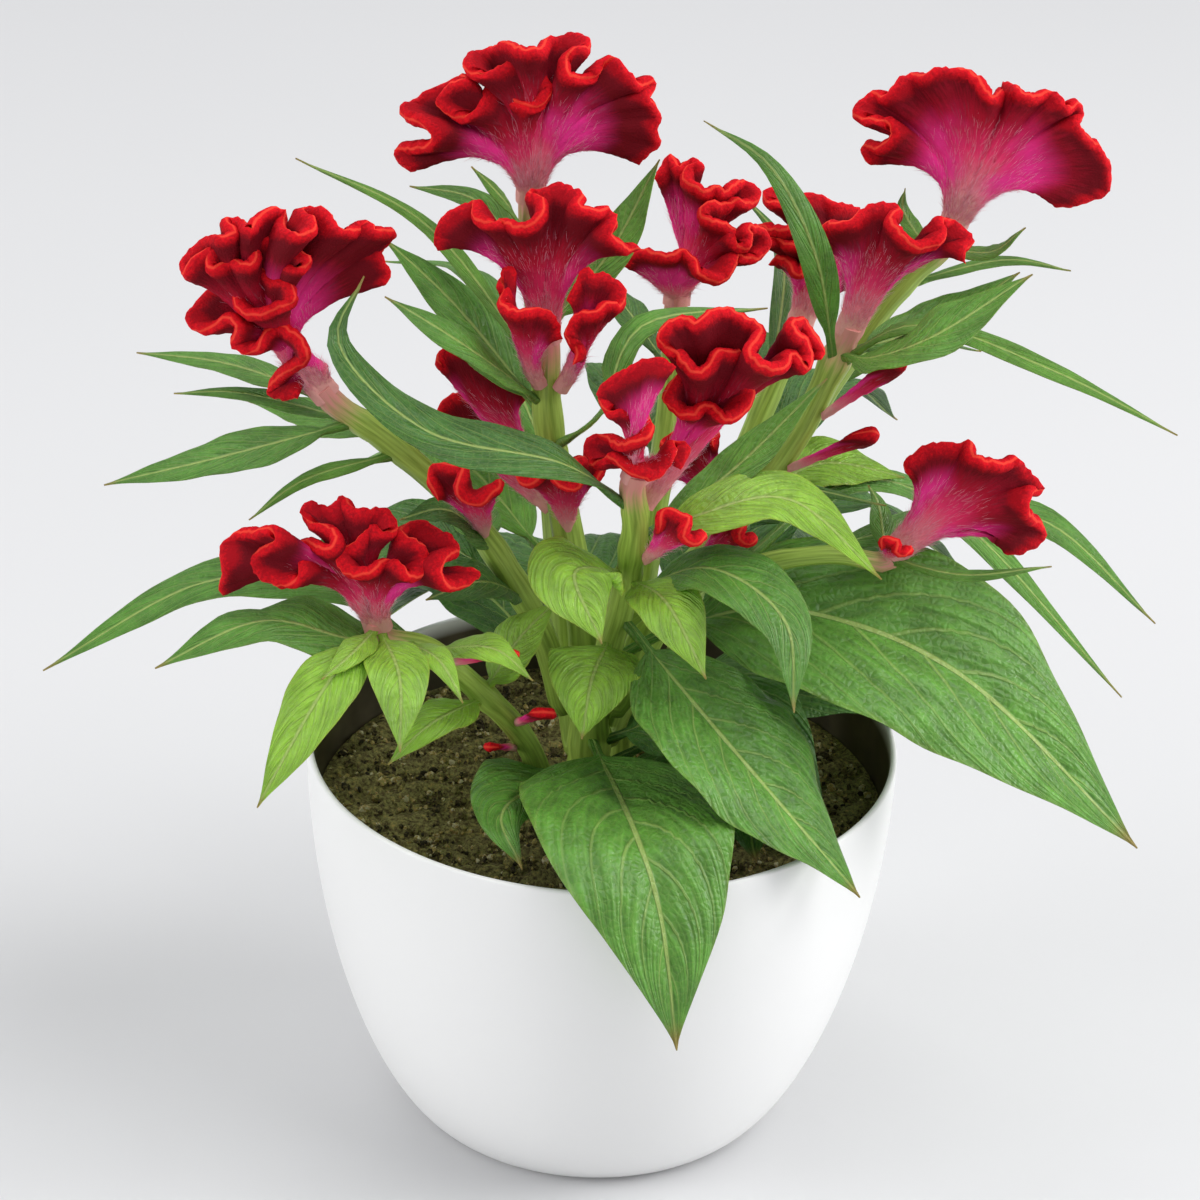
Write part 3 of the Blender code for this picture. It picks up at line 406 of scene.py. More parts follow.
# The places that the crests of the large combs run through, in mm from their necks: to the right,
# back and up. Their lines were placed by eye in the camera's view, and a script of its own turned
# them into these offsets: a place nearer the neck than the line's mean comes forward about as far.
CRESTS: dict[str, tuple[Point, ...]] = {
    "top": (
        (-28, -2, 4), (-32, 0, 5), (-33, 2, 8), (-29, -2, 10), (-25, -5, 12), (-24, -5, 15),
        (-27, -3, 17), (-31, 1, 17), (-32, 4, 18), (-30, 5, 19), (-26, 5, 22), (-22, 5, 24),
        (-18, 3, 27), (-16, -2, 28), (-19, -1, 27), (-21, 0, 25), (-23, 0, 22), (-22, -2, 20),
        (-18, -4, 19), (-15, -4, 20), (-13, -3, 22), (-12, -1, 25), (-11, 0, 26), (-8, 1, 27),
        (-6, -1, 27), (-5, -3, 24), (-2, -4, 23), (2, -5, 23), (4, -4, 25), (5, -2, 27),
        (3, -1, 29), (2, 0, 31), (-1, 0, 33), (-5, -1, 33), (-9, -2, 31), (-12, -3, 30),
        (-15, -3, 30), (-17, 1, 31), (-16, 6, 31), (-13, 7, 32), (-10, 5, 34), (-7, 0, 37),
        (-4, -4, 37), (-1, -5, 37), (2, -3, 37), (3, 4, 37), (6, 7, 36), (10, 7, 37), (13, 4, 37),
        (13, 0, 36), (11, -1, 37), (8, -2, 35), (8, -4, 33), (9, -5, 31), (13, -4, 30),
        (16, -3, 31), (17, -1, 33), (20, 0, 34), (22, -1, 32), (24, -2, 30), (26, -2, 28),
        (29, 2, 28), (29, 1, 26), (28, -2, 25), (30, -1, 22), (31, -1, 19), (30, -2, 17),
        (31, -1, 13), (29, -1, 11), (26, -2, 8),
    ),
    "top_right": (
        (-22, -2, 14), (-24, 0, 16), (-24, 1, 18), (-21, -3, 19), (-18, -4, 22), (-18, -3, 25),
        (-21, -2, 26), (-25, -2, 26), (-27, 1, 27), (-25, 3, 29), (-22, 3, 31), (-20, 0, 31),
        (-18, 1, 33), (-16, 3, 35), (-13, 3, 36), (-11, -1, 37), (-8, -1, 39), (-4, 0, 39),
        (-1, -1, 39), (2, -3, 38), (4, -6, 36), (6, -6, 34), (9, 3, 33), (10, 7, 33), (12, 0, 35),
        (13, -4, 35), (16, -4, 34), (21, 0, 34), (23, -1, 33), (25, -3, 31), (28, 1, 31),
        (29, 1, 28), (28, -2, 27), (29, -3, 25), (32, -2, 22), (34, -1, 20), (36, -1, 17),
        (37, 0, 13), (37, 0, 9), (34, -1, 7), (30, -2, 6), (26, -2, 5), (23, -2, 6),
    ),
    "left": (
        (16, -2, 28), (17, 0, 30), (15, 0, 35), (16, 1, 37), (18, 1, 40), (16, -2, 42),
        (14, -5, 43), (12, -2, 44), (10, -5, 43), (8, -8, 44), (5, -6, 44), (3, -3, 46),
        (0, -1, 47), (-4, -1, 46), (-1, -5, 46), (0, -10, 45), (-3, -12, 44), (-6, -10, 44),
        (-8, -3, 43), (-8, 1, 45), (-11, -1, 46), (-14, -5, 45), (-15, -9, 44), (-17, -3, 43),
        (-20, 0, 43), (-22, -1, 43), (-19, -6, 42), (-22, -7, 41), (-26, -2, 39), (-30, 0, 35),
        (-33, -1, 31), (-32, -5, 30), (-30, -5, 34), (-27, -4, 36), (-24, -4, 38), (-26, -5, 36),
        (-26, -6, 34), (-25, -8, 33), (-22, -6, 34), (-20, -6, 35), (-17, -9, 35), (-15, -9, 35),
        (-14, -7, 37), (-16, -3, 38), (-14, -2, 39), (-10, -4, 40), (-7, -6, 40), (-3, -8, 38),
        (-1, -10, 37), (-3, -10, 35), (-7, -7, 35), (-10, -4, 35), (-13, -4, 33), (-11, -6, 31),
        (-7, -8, 31), (-5, -10, 29), (-5, -12, 27), (-8, -10, 25), (-12, -10, 23), (-16, -9, 22),
        (-19, -7, 23), (-20, -5, 25), (-19, -3, 27), (-23, 0, 26), (-27, 1, 24), (-30, 1, 20),
        (-32, 0, 17), (-30, -3, 15), (-27, -5, 16), (-24, -5, 18), (-22, -6, 20), (-19, -8, 19),
        (-20, -6, 15), (-21, -5, 12), (-17, -7, 11), (-14, -8, 13), (-13, -7, 16), (-10, -5, 18),
        (-7, -7, 18), (-4, -8, 16), (-2, -10, 13), (-3, -9, 10), (-8, -6, 6), (-11, -2, 2),
        (-13, 0, -2), (-9, -2, -3), (-5, -5, -1),
    ),
    "center_upper": (
        (-26, -2, 20), (-27, 0, 22), (-26, 1, 26), (-23, 2, 29), (-20, 3, 30), (-18, 3, 31),
        (-18, -2, 30), (-16, -5, 29), (-13, -5, 29), (-11, -4, 29), (-8, -7, 29), (-5, -7, 29),
        (-2, -6, 31), (-1, -3, 33), (-2, 0, 34), (-5, 3, 34), (-1, 5, 34), (2, 6, 35), (5, 4, 35),
        (8, 0, 35), (7, -3, 34), (9, -4, 33), (12, -3, 32), (14, -1, 32), (16, -1, 30),
        (16, -4, 29), (15, -5, 27), (17, -5, 25), (19, -4, 23), (22, -1, 22),
    ),
    "front_lower": (
        (8, -3, 28), (5, -1, 29), (1, 1, 28), (-2, 0, 27), (-5, 0, 25), (-9, 0, 22),
        (-10, 0, 19), (-8, -4, 17), (-5, -3, 17), (-2, 0, 17), (1, -2, 16), (3, -4, 14),
        (2, -7, 12), (-2, -6, 10), (-5, -3, 8), (-9, 2, 8), (-12, 2, 7), (-13, 1, 4), (-11, -2, 2),
        (-8, -2, 4), (-5, -4, 4), (-3, -5, 2), (1, -6, 1), (4, -5, 0), (7, -3, 2), (9, -2, 6),
        (8, 0, 8), (11, 1, 7), (12, 0, 5), (10, -3, 2),
    ),
    "front_upper": (
        (5, -4, 34), (3, -5, 31), (2, -6, 28), (5, -6, 25), (9, -7, 25), (11, -4, 26), (14, -5, 26),
        (16, -9, 25), (19, -8, 25), (22, -6, 27), (23, -4, 30), (22, -3, 33), (23, -1, 35),
        (21, -2, 39), (17, -4, 40), (14, -6, 41), (12, -8, 38), (9, -10, 37), (6, -9, 39),
        (4, -7, 41), (1, -8, 43), (0, -8, 45), (2, -7, 48), (6, -6, 49), (8, -7, 48), (10, -6, 49),
        (12, -4, 50), (16, -2, 50), (20, -2, 48), (24, -3, 46), (23, -7, 45), (21, -10, 43),
        (23, -12, 41), (26, -11, 39), (30, -9, 39), (31, -6, 41), (33, -6, 40), (35, -8, 38),
        (36, -5, 40), (35, -4, 43), (32, -5, 46), (31, -4, 48), (34, 0, 47), (37, -1, 43),
        (39, -2, 40), (38, -5, 39),
    ),
    "lower_left": (
        (-36, -3, 6), (-37, -2, 8), (-36, -3, 13), (-37, 0, 16), (-36, 2, 18), (-33, 1, 21),
        (-29, -2, 23), (-25, -4, 25), (-23, -5, 23), (-26, -4, 20), (-29, -3, 17), (-29, -4, 14),
        (-26, -6, 12), (-21, -8, 12), (-18, -8, 14), (-18, -5, 16), (-20, -1, 17), (-19, 1, 19),
        (-16, -2, 21), (-12, -6, 21), (-10, -7, 22), (-9, -5, 24), (-11, -2, 25), (-15, 0, 25),
        (-18, 2, 26), (-17, 4, 28), (-13, 4, 27), (-10, 4, 28), (-8, 5, 30), (-6, 1, 29),
        (-2, 0, 29), (2, 1, 29), (5, -1, 27), (5, -3, 25), (2, -3, 25), (-1, -1, 26), (-3, -3, 24),
        (-5, -4, 22), (-8, -4, 20), (-9, -6, 18), (-7, -8, 16), (-3, -9, 16), (0, -8, 17),
        (2, -5, 18), (4, -4, 18), (7, -7, 18), (9, -9, 16), (12, -7, 16), (13, -4, 18),
        (12, -3, 21), (9, -3, 23), (6, -1, 24), (7, 3, 24), (11, 5, 24), (14, 3, 23), (18, 1, 22),
        (20, 0, 19), (18, -4, 20), (16, -7, 18), (17, -8, 14), (20, -6, 12), (23, -3, 12),
        (25, -1, 13), (23, -1, 15),
    ),
    "small_right": (
        (0, -2, 21), (-1, -1, 23), (1, 0, 25), (4, 1, 27), (8, 1, 28), (12, 1, 28), (15, 0, 29),
        (15, -5, 28), (18, -6, 27), (21, -5, 26), (24, -3, 25), (27, 0, 25), (29, 1, 22),
        (32, 1, 19), (34, 2, 16), (31, -2, 17), (30, -5, 15), (30, -6, 13), (32, -3, 10),
        (35, 1, 6), (35, 1, 3), (32, -1, 1), (28, -2, 0), (26, -2, 2),
    ),
    "right_mid": (
        (-10, -2, 21), (-10, 0, 23), (-8, 0, 26), (-6, -3, 27), (-2, -2, 28), (0, 1, 29),
        (3, 3, 30), (7, 4, 30), (10, 4, 29), (8, -2, 30), (7, -4, 29), (9, -6, 27), (11, -7, 25),
        (14, -7, 23), (17, -6, 23), (20, -5, 24), (21, -2, 26), (20, 0, 28), (23, 4, 26),
        (26, 3, 24), (28, 1, 22), (26, -2, 21), (26, -3, 18),
    ),
    "back": (
        (-14, -9, 10), (-13, -7, 13), (-9, -7, 14), (-6, -9, 14), (-2, -10, 14), (1, -8, 15),
        (4, -10, 13), (5, -14, 11), (9, -14, 9), (12, -12, 9), (14, -10, 12), (15, -8, 14),
        (19, -8, 13), (22, -5, 14), (23, -3, 16), (21, -3, 19), (17, -6, 21), (18, -7, 18),
        (17, -9, 16), (14, -8, 17), (14, -5, 19), (11, -5, 21), (8, -6, 22), (5, -6, 23),
        (5, -4, 25), (8, -3, 26), (11, -2, 25), (14, -1, 26), (17, -1, 25), (19, 1, 25),
        (20, 3, 26), (18, 5, 28), (15, 4, 29), (13, 1, 29), (11, -1, 28), (9, 0, 29), (6, -2, 28),
        (4, -2, 29), (1, -1, 30), (0, 2, 31), (2, 5, 33), (5, 5, 33), (2, 8, 33), (-1, 5, 32),
        (-3, 8, 34), (-5, 7, 32), (-7, 4, 29),
    ),
    "back_right": (
        (-10, -5, 15), (-8, -4, 17), (-5, -7, 17), (-3, -11, 15), (0, -10, 17), (0, -9, 20),
        (-2, -7, 22), (-6, -7, 22), (-9, -5, 23), (-12, -6, 22), (-15, -3, 23), (-13, -3, 25),
        (-10, -5, 25), (-6, -7, 26), (-4, -5, 28), (-4, -3, 31), (-7, -1, 31), (-11, -1, 31),
        (-12, 3, 32), (-9, 4, 33), (-5, 4, 32), (-3, 4, 31), (0, 6, 31), (3, 7, 30), (6, 6, 29),
        (9, 7, 28), (13, 9, 26), (13, 7, 23), (14, 5, 18), (13, 3, 11), (12, 2, 6),
    ),
    "center_lobe_left": (
        (-5, -2, 28), (-7, 0, 29), (-9, -1, 27), (-8, -4, 25), (-9, -7, 23), (-6, -10, 22),
        (-3, -10, 22), (0, -8, 22), (3, -8, 21), (5, -7, 18), (6, -8, 14),
    ),
    "center_lobe_right": (
        (0, -6, 24), (2, -4, 28), (4, -3, 31), (7, -4, 30), (9, -3, 30), (12, -3, 28),
        (14, -5, 26), (13, -8, 24), (10, -9, 25), (7, -10, 23), (3, -9, 22), (1, -9, 20),
        (0, -10, 17), (1, -10, 15), (3, -9, 12), (2, -10, 9),
    ),
    "inner_left": (
        (-23, 3, 23), (-24, 5, 25), (-22, 6, 27), (-20, 5, 27), (-17, 4, 28), (-14, 3, 26),
        (-11, 3, 24), (-8, 3, 23), (-5, 4, 22), (-2, 4, 19), (-1, 3, 16),
    ),
    "inner_left_low": (
        (-24, 4, 18), (-27, 6, 19), (-26, 7, 22), (-23, 7, 25), (-19, 6, 26), (-16, 5, 25),
        (-13, 5, 24), (-10, 4, 21),
    ),
}


# Curves and stems


def unit(vector: Array) -> Array:
    """Returns the vectors at length 1, along the last axis."""
    return vector / np.linalg.norm(vector, axis=-1, keepdims=True)


def smoothstep(low: float, high: float, value: Array) -> Array:
    """Returns 0 below low, 1 above high and a smooth rise between them."""
    share = np.clip((value - low) / (high - low), 0.0, 1.0)
    return share * share * (3.0 - 2.0 * share)


def smooth_path(points: Sequence[Array], shares: Array) -> Array:
    """Finds places on the smooth curve that runs through some points.

    Args:
        points: The places that the curve runs through.
        shares: The wanted places, as shares of the curve's length.

    Returns:
        One place for each share.
    """
    ends = np.array([2 * points[0] - points[1], *points, 2 * points[-1] - points[-2]])
    dense = []
    for before, start, end, after in zip(ends, ends[1:], ends[2:], ends[3:]):
        for share in np.linspace(0.0, 1.0, 16, endpoint=False):
            even = 2 * start + (end - before) * share
            square = (2 * before - 5 * start + 4 * end - after) * share**2
            cube = (3 * start - before - 3 * end + after) * share**3
            dense.append((even + square + cube) / 2)
    dense = np.array([*dense, points[-1]])
    along = np.concatenate([[0.0], np.cumsum(np.linalg.norm(np.diff(dense, axis=0), axis=1))])
    wanted = np.asarray(shares) * along[-1]
    return np.stack([np.interp(wanted, along, dense[:, axis]) for axis in range(3)], axis=1)


def ripple_noise(places: Array, size: float, seed: int, octaves: int = 2) -> Array:
    """Makes a smooth random field out of crossing sine waves.

    Args:
        places: The places to read the field at, in metres.
        size: The distance between two bumps, in metres.
        seed: The seed of the waves.
        octaves: How many layers of ever finer waves are added.

    Returns:
        One value from about -1 to 1 for each place.
    """
    random = np.random.default_rng(seed)
    total = np.zeros(len(places))
    for octave in range(octaves):
        for _ in range(WAVES):
            way = unit(random.normal(size=3)) * math.tau / (size * 0.5**octave)
            way *= random.uniform(0.7, 1.3)
            total += 0.5**octave * np.sin(places @ way + random.uniform(0, math.tau))
    return total / WAVES_HEIGHT


@dataclass
class Skeleton:
    """The centre lines and radii of all stems, in metres.

    Attributes:
        stems: The stems by name, the trunk first.
        step: The distance between two places of a centre line.
        straight: How much of a stem's end runs straight into its comb.
    """

    stems: dict[str, Stem]
    step: float = 11 * MM
    straight: float = 6 * MM
    lines: dict[str, Array] = field(default_factory=dict)
    radii: dict[str, tuple[float, float]] = field(default_factory=dict)

    def __post_init__(self) -> None:
        """Lays out every stem in order, so that the trunk is there for its branches."""
        for name, stem in self.stems.items():
            self.radii[name] = (stem.radii[0] * MM, stem.radii[1] * MM)
            self.lines[name] = self.line(name, stem)

    def line(self, name: str, stem: Stem) -> Array:
        """Lays out one stem's centre line, whose first and last stretch are straight.

        Args:
            name: The stem's name.
            stem: The stem.

        Returns:
            The places along the centre line.
        """
        places = [np.array(place) * MM for place in stem.places]
        axis = unit(np.array(stem.tip_axis))
        seat = places[-1] - axis * GAP
        places = places[:-1] + [seat - axis * self.straight]
        start = []
        if stem.trunk_height:
            foot, knee = self.foot_on_trunk(stem.trunk_height * MM, places[0], self.radii[name][0])
            start = [foot]
            places = [knee, *places]
        length = sum(np.linalg.norm(end - begin) for begin, end in zip(places, places[1:]))
        shares = np.linspace(0.0, 1.0, max(4, round(length / self.step)) + 1)
        return np.array([*start, *smooth_path(places, shares), seat])

    def foot_on_trunk(self, height: float, toward: Array, radius: float) -> tuple[Array, Array]:
        """Finds the first two places of a branch, whose foot lies just clear of the trunk.

        Args:
            height: The height of the trunk's place that it leaves from.
            toward: A place that the branch heads for.
            radius: The branch's radius at its foot.

        Returns:
            The foot and the place after it.
        """
        trunk, thickness, tangent = self.at("main", height)
        outward = toward - trunk
        outward = unit(outward - tangent * np.dot(outward, tangent))
        across = unit(np.cross(outward, tangent))
        turns = np.linspace(0.0, math.tau, 12, endpoint=False)
        rim = radius * (np.outer(np.cos(turns), across) + np.outer(np.sin(turns), tangent))
        foot = self.clear_place("main", trunk + outward * thickness, outward, rim)
        return foot, foot + outward * radius * 0.7

    def gap(self, name: str, points: Array) -> float:
        """Measures the smallest distance from some points to the surface of a stem."""
        line = self.lines[name]
        start, end = self.radii[name]
        gaps = []
        for index, (low, high) in enumerate(zip(line, line[1:])):
            way = high - low
            share = np.clip((points - low) @ way / (way @ way), 0.0, 1.0)
            radius = start + (end - start) * (index + share) / (len(line) - 1)
            gaps.append(np.linalg.norm(points - low - np.outer(share, way), axis=1) - radius)
        return float(np.min(gaps))

    def clear_place(self, name: str, place: Array, way: Array, end_offsets: Array) -> Array:
        """Moves a flat end out along a way until all of it is a gap clear of a stem."""
        while self.gap(name, place + end_offsets) < GAP:
            place = place + way * GAP / 4
        return place

    def at(self, name: str, height: float) -> tuple[Array, float, Array]:
        """Finds the centre, radius and direction of a stem where it passes a height."""
        line = self.lines[name]
        share = float(np.interp(height, line[:, 2], np.linspace(0.0, 1.0, len(line))))
        place = share * (len(line) - 1)
        low = min(int(place), len(line) - 2)
        centre = line[low] + (line[low + 1] - line[low]) * (place - low)
        start, end = self.radii[name]
        return centre, start + (end - start) * share, unit(line[low + 1] - line[low])


# Meshes


def deselect() -> None:
    """Deselects every object."""
    bpy.ops.object.select_all(action="DESELECT")


def activate(obj: bpy.types.Object) -> None:
    """Selects one object alone and makes it the active one."""
    deselect()
    obj.select_set(True)
    bpy.context.view_layer.objects.active = obj


def places_of(obj: bpy.types.Object) -> Array:
    """Reads the places of a mesh's vertices as one array."""
    places = np.empty(len(obj.data.vertices) * 3)
    obj.data.vertices.foreach_get("co", places)
    return places.reshape(-1, 3)


def move_places(obj: bpy.types.Object, places: Array) -> None:
    """Moves a mesh's vertices to new places."""
    obj.data.vertices.foreach_set("co", np.ascontiguousarray(places, np.float32).ravel())
    obj.data.update()


def normals_of(obj: bpy.types.Object) -> Array:
    """Reads the normals of a mesh's vertices as one array."""
    normals = np.empty(len(obj.data.vertices) * 3, np.float32)
    obj.data.vertices.foreach_get("normal", normals)
    return normals.reshape(-1, 3).astype(float)


def note(obj: bpy.types.Object, name: str, values: Array | float) -> None:
    """Stores one number for each vertex, for the finishes to read.

    Args:
        obj: The piece.
        name: The name that the finish reads.
        values: One number for all, or one for each vertex.
    """
    layer = obj.data.attributes.get(name) or obj.data.attributes.new(name, "FLOAT", "POINT")
    spread = np.broadcast_to(np.asarray(values, np.float32), (len(obj.data.vertices),))
    layer.data.foreach_set("value", np.ascontiguousarray(spread))


def values_of(obj: bpy.types.Object, name: str) -> Array:
    """Reads back the numbers that a mesh's vertices were noted with."""
    values = np.empty(len(obj.data.vertices), np.float32)
    obj.data.attributes[name].data.foreach_get("value", values)
    return values


def lay_uv(obj: bpy.types.Object, name: str, across: Array, along: Array) -> None:
    """Writes a UV map from two numbers for each vertex."""
    layer = obj.data.uv_layers.get(name) or obj.data.uv_layers.new(name=name)
    corners = np.empty(len(obj.data.loops), np.int32)
    obj.data.loops.foreach_get("vertex_index", corners)
    pairs = np.stack([across[corners], along[corners]], axis=1).astype(np.float32)
    layer.data.foreach_set("uv", pairs.ravel())


def sheet(name: str, columns: int, rows: int) -> tuple[bpy.types.Object, Array, Array]:
    """Adds a flat grid to be shaped.

    Args:
        name: The name of the new object.
        columns: The number of faces across.
        rows: The number of faces along.

    Returns:
        The object, and for each vertex its place across and along, from 0 to 1.
    """
    deselect()
    bpy.ops.mesh.primitive_grid_add(x_subdivisions=columns, y_subdivisions=rows, size=2.0)
    obj = bpy.context.active_object
    obj.name = obj.data.name = name
    obj.data.uv_layers.active.name = "sheet"
    flat = places_of(obj)
    return obj, (flat[:, 0] + 1) / 2, (flat[:, 1] + 1) / 2


def apply_modifiers(obj: bpy.types.Object) -> None:
    """Applies every modifier of an object in its order."""
    activate(obj)
    for modifier in list(obj.modifiers):
        bpy.ops.object.modifier_apply(modifier=modifier.name)


def thicken(obj: bpy.types.Object, thickness: Array) -> None:
    """Turns a sheet into a closed solid.

    Args:
        obj: The sheet.
        thickness: The thickness at each vertex, in metres.
    """
    most = float(thickness.max())
    group = obj.vertex_groups.new(name="thickness")
    for index, share in enumerate(thickness / most):
        group.add([index], float(share), "REPLACE")
    solidify = obj.modifiers.new("thickness", "SOLIDIFY")
    solidify.thickness = most
    solidify.offset = 0.0
    solidify.vertex_group = group.name
    apply_modifiers(obj)
    obj.vertex_groups.clear()


def face_outwards(obj: bpy.types.Object) -> None:
    """Turns the faces of a closed mesh outwards."""
    activate(obj)
    bpy.ops.object.mode_set(mode="EDIT")
    bpy.ops.mesh.select_all(action="SELECT")
    bpy.ops.mesh.normals_make_consistent(inside=False)
    bpy.ops.object.mode_set(mode="OBJECT")


def close_tube(obj: bpy.types.Object, merge: float = 0.01 * MM) -> None:
    """Welds a rolled sheet along its seam, caps its open ends and turns its faces outwards."""
    activate(obj)
    bpy.ops.object.mode_set(mode="EDIT")
    bpy.ops.mesh.select_all(action="SELECT")
    bpy.ops.mesh.remove_doubles(threshold=merge)
    bpy.ops.mesh.fill_holes(sides=0)
    bpy.ops.object.mode_set(mode="OBJECT")
    face_outwards(obj)


def shade(obj: bpy.types.Object, angle: float) -> None:
    """Shades an object smooth, save where its faces meet at more than an angle in degrees."""
    activate(obj)
    bpy.ops.object.shade_smooth_by_angle(angle=math.radians(angle))


def rolled(name: str, profile: Array, sides: int) -> tuple[bpy.types.Object, Array]:
    """Rolls a sheet round the upright axis along a profile.

    Args:
        name: The name of the new object.
        profile: The radius and height of each row, in mm.
        sides: The number of faces round it.

    Returns:
        The object, still open along its seam, and each vertex's row.
    """
    made, across, along = sheet(name, sides, len(profile) - 1)
    row = np.round(along * (len(profile) - 1)).astype(int)
    turn = across * math.tau
    radius, height = profile[row].T
    places = np.stack([radius * np.cos(turn), radius * np.sin(turn), height], axis=1)
    move_places(made, places * MM)
    return made, row


def dress(obj: bpy.types.Object, finish: bpy.types.Material) -> None:
    """Gives an object one finish all over."""
    obj.data.materials.clear()
    obj.data.materials.append(finish)


def finished(
    obj: bpy.types.Object, angle: float, finish: bpy.types.Material
) -> bpy.types.Object:
    """Shades an object up to an angle in degrees and gives it one finish all over."""
    shade(obj, angle)
    dress(obj, finish)
    return obj


def joined(name: str, objects: Sequence[bpy.types.Object]) -> bpy.types.Object:
    """Joins several objects into one.

    Args:
        name: The name of the joined object.
        objects: The objects, the first of which takes in the others.

    Returns:
        The joined object.
    """
    deselect()
    for obj in objects:
        obj.select_set(True)
    bpy.context.view_layer.objects.active = objects[0]
    if len(objects) > 1:
        bpy.ops.object.join()
    objects[0].name = objects[0].data.name = name
    return objects[0]


def copies(name: str, pattern: bpy.types.Object, frames: Array, places: Array) -> bpy.types.Object:
    """Copies one small modelled shape many times into a single mesh, and removes the shape.

    Args:
        name: The name of the new object.
        pattern: The modelled shape.
        frames: One 3 by 3 matrix for each copy, which turns and scales it.
        places: One place for each copy.

    Returns:
        The object that holds all copies.
    """
    shape = places_of(pattern)
    faces = [tuple(polygon.vertices) for polygon in pattern.data.polygons]
    corners = np.einsum("nij,vj->nvi", frames, shape) + places[:, None, :]
    everything = [
        tuple(index + len(shape) * copy for index in face)
        for copy in range(len(places)) for face in faces
    ]
    mesh = bpy.data.meshes.new(name)
    mesh.from_pydata(corners.reshape(-1, 3).tolist(), [], everything)
    made = bpy.data.objects.new(name, mesh)
    bpy.context.scene.collection.objects.link(made)
    bpy.data.objects.remove(pattern, do_unlink=True)
    return made


def hollowness(obj: bpy.types.Object, reach: int) -> Array:
    """Measures how deep each vertex lies in a fold of the surface.

    Args:
        obj: The piece.
        reach: How many edges away the surroundings are read.

    Returns:
        The depth below the surroundings in mm, negative on ridges.
    """
    edges = np.empty(len(obj.data.edges) * 2, np.int32)
    obj.data.edges.foreach_get("vertices", edges)
    first, second = edges.reshape(-1, 2).T
    places = places_of(obj)
    count = np.bincount(first, minlength=len(places)) + np.bincount(second, minlength=len(places))
    smooth = places.copy()
    for _ in range(reach):
        total = np.zeros_like(smooth)
        for axis in range(3):
            total[:, axis] += np.bincount(first, smooth[second, axis], len(places))
            total[:, axis] += np.bincount(second, smooth[first, axis], len(places))
        smooth = 0.5 * smooth + 0.5 * total / count[:, None]
    return np.einsum("ij,ij->i", smooth - places, normals_of(obj)) / MM


def hand_over(piece: bpy.types.Object, node: str) -> None:
    """Sets a finished piece in the place of the solid it stands for."""
    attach(piece, BODY)
    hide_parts(node)
    LOG.info("%s: %d faces", piece.name, len(piece.data.polygons))


# Finishes


def linear(code: str) -> tuple[float, float, float, float]:
    """Turns an sRGB hex colour into a linear colour with full alpha."""
    values = [int(code[start : start + 2], 16) / 255 for start in (1, 3, 5)]
    bent = [v / 12.92 if v <= 0.04045 else ((v + 0.055) / 1.055) ** 2.4 for v in values]
    return (bent[0], bent[1], bent[2], 1.0)


def add_node(
    tree: bpy.types.NodeTree,
    kind: str,
    inputs: dict[str | int, Any] | None = None,
    stops: Sequence[tuple[float, str]] = (),
    out: str | int = 0,
    **settings: Any,
) -> bpy.types.NodeSocket:
    """Adds a node with its settings and links.

    Args:
        tree: The tree it goes in.
        kind: The node's type, without the leading word ShaderNode.
        inputs: The socket that feeds each input, or its fixed value, by its name or number.
        stops: The places and colours of a ramp.
        out: The name or number of the output that is handed back.
        settings: The node's own properties.

    Returns:
        The wanted output of the new node.
    """
    node = tree.nodes.new("ShaderNode" + kind)
    for name, value in settings.items():
        setattr(node, name, value)
    for key, value in (inputs or {}).items():
        if isinstance(value, bpy.types.NodeSocket):
            tree.links.new(value, node.inputs[key])
        else:
            node.inputs[key].default_value = value
    if stops:
        elements = node.color_ramp.elements
        while len(elements) < len(stops):
            elements.new(0.5)
        for element, (place, color) in zip(elements, stops):
            element.position = place
            element.color = linear(color)
    return node.outputs[out]


def new_finish(
    name: str,
) -> tuple[bpy.types.Material, Callable[..., bpy.types.NodeSocket], bpy.types.Node]:
    """Makes an empty material.

    Args:
        name: Its name.

    Returns:
        The material, add_node for its tree, and its Principled shader.
    """
    finish = bpy.data.materials.new(name)
    finish.use_nodes = True
    tree = finish.node_tree
    return finish, partial(add_node, tree), tree.nodes["Principled BSDF"]


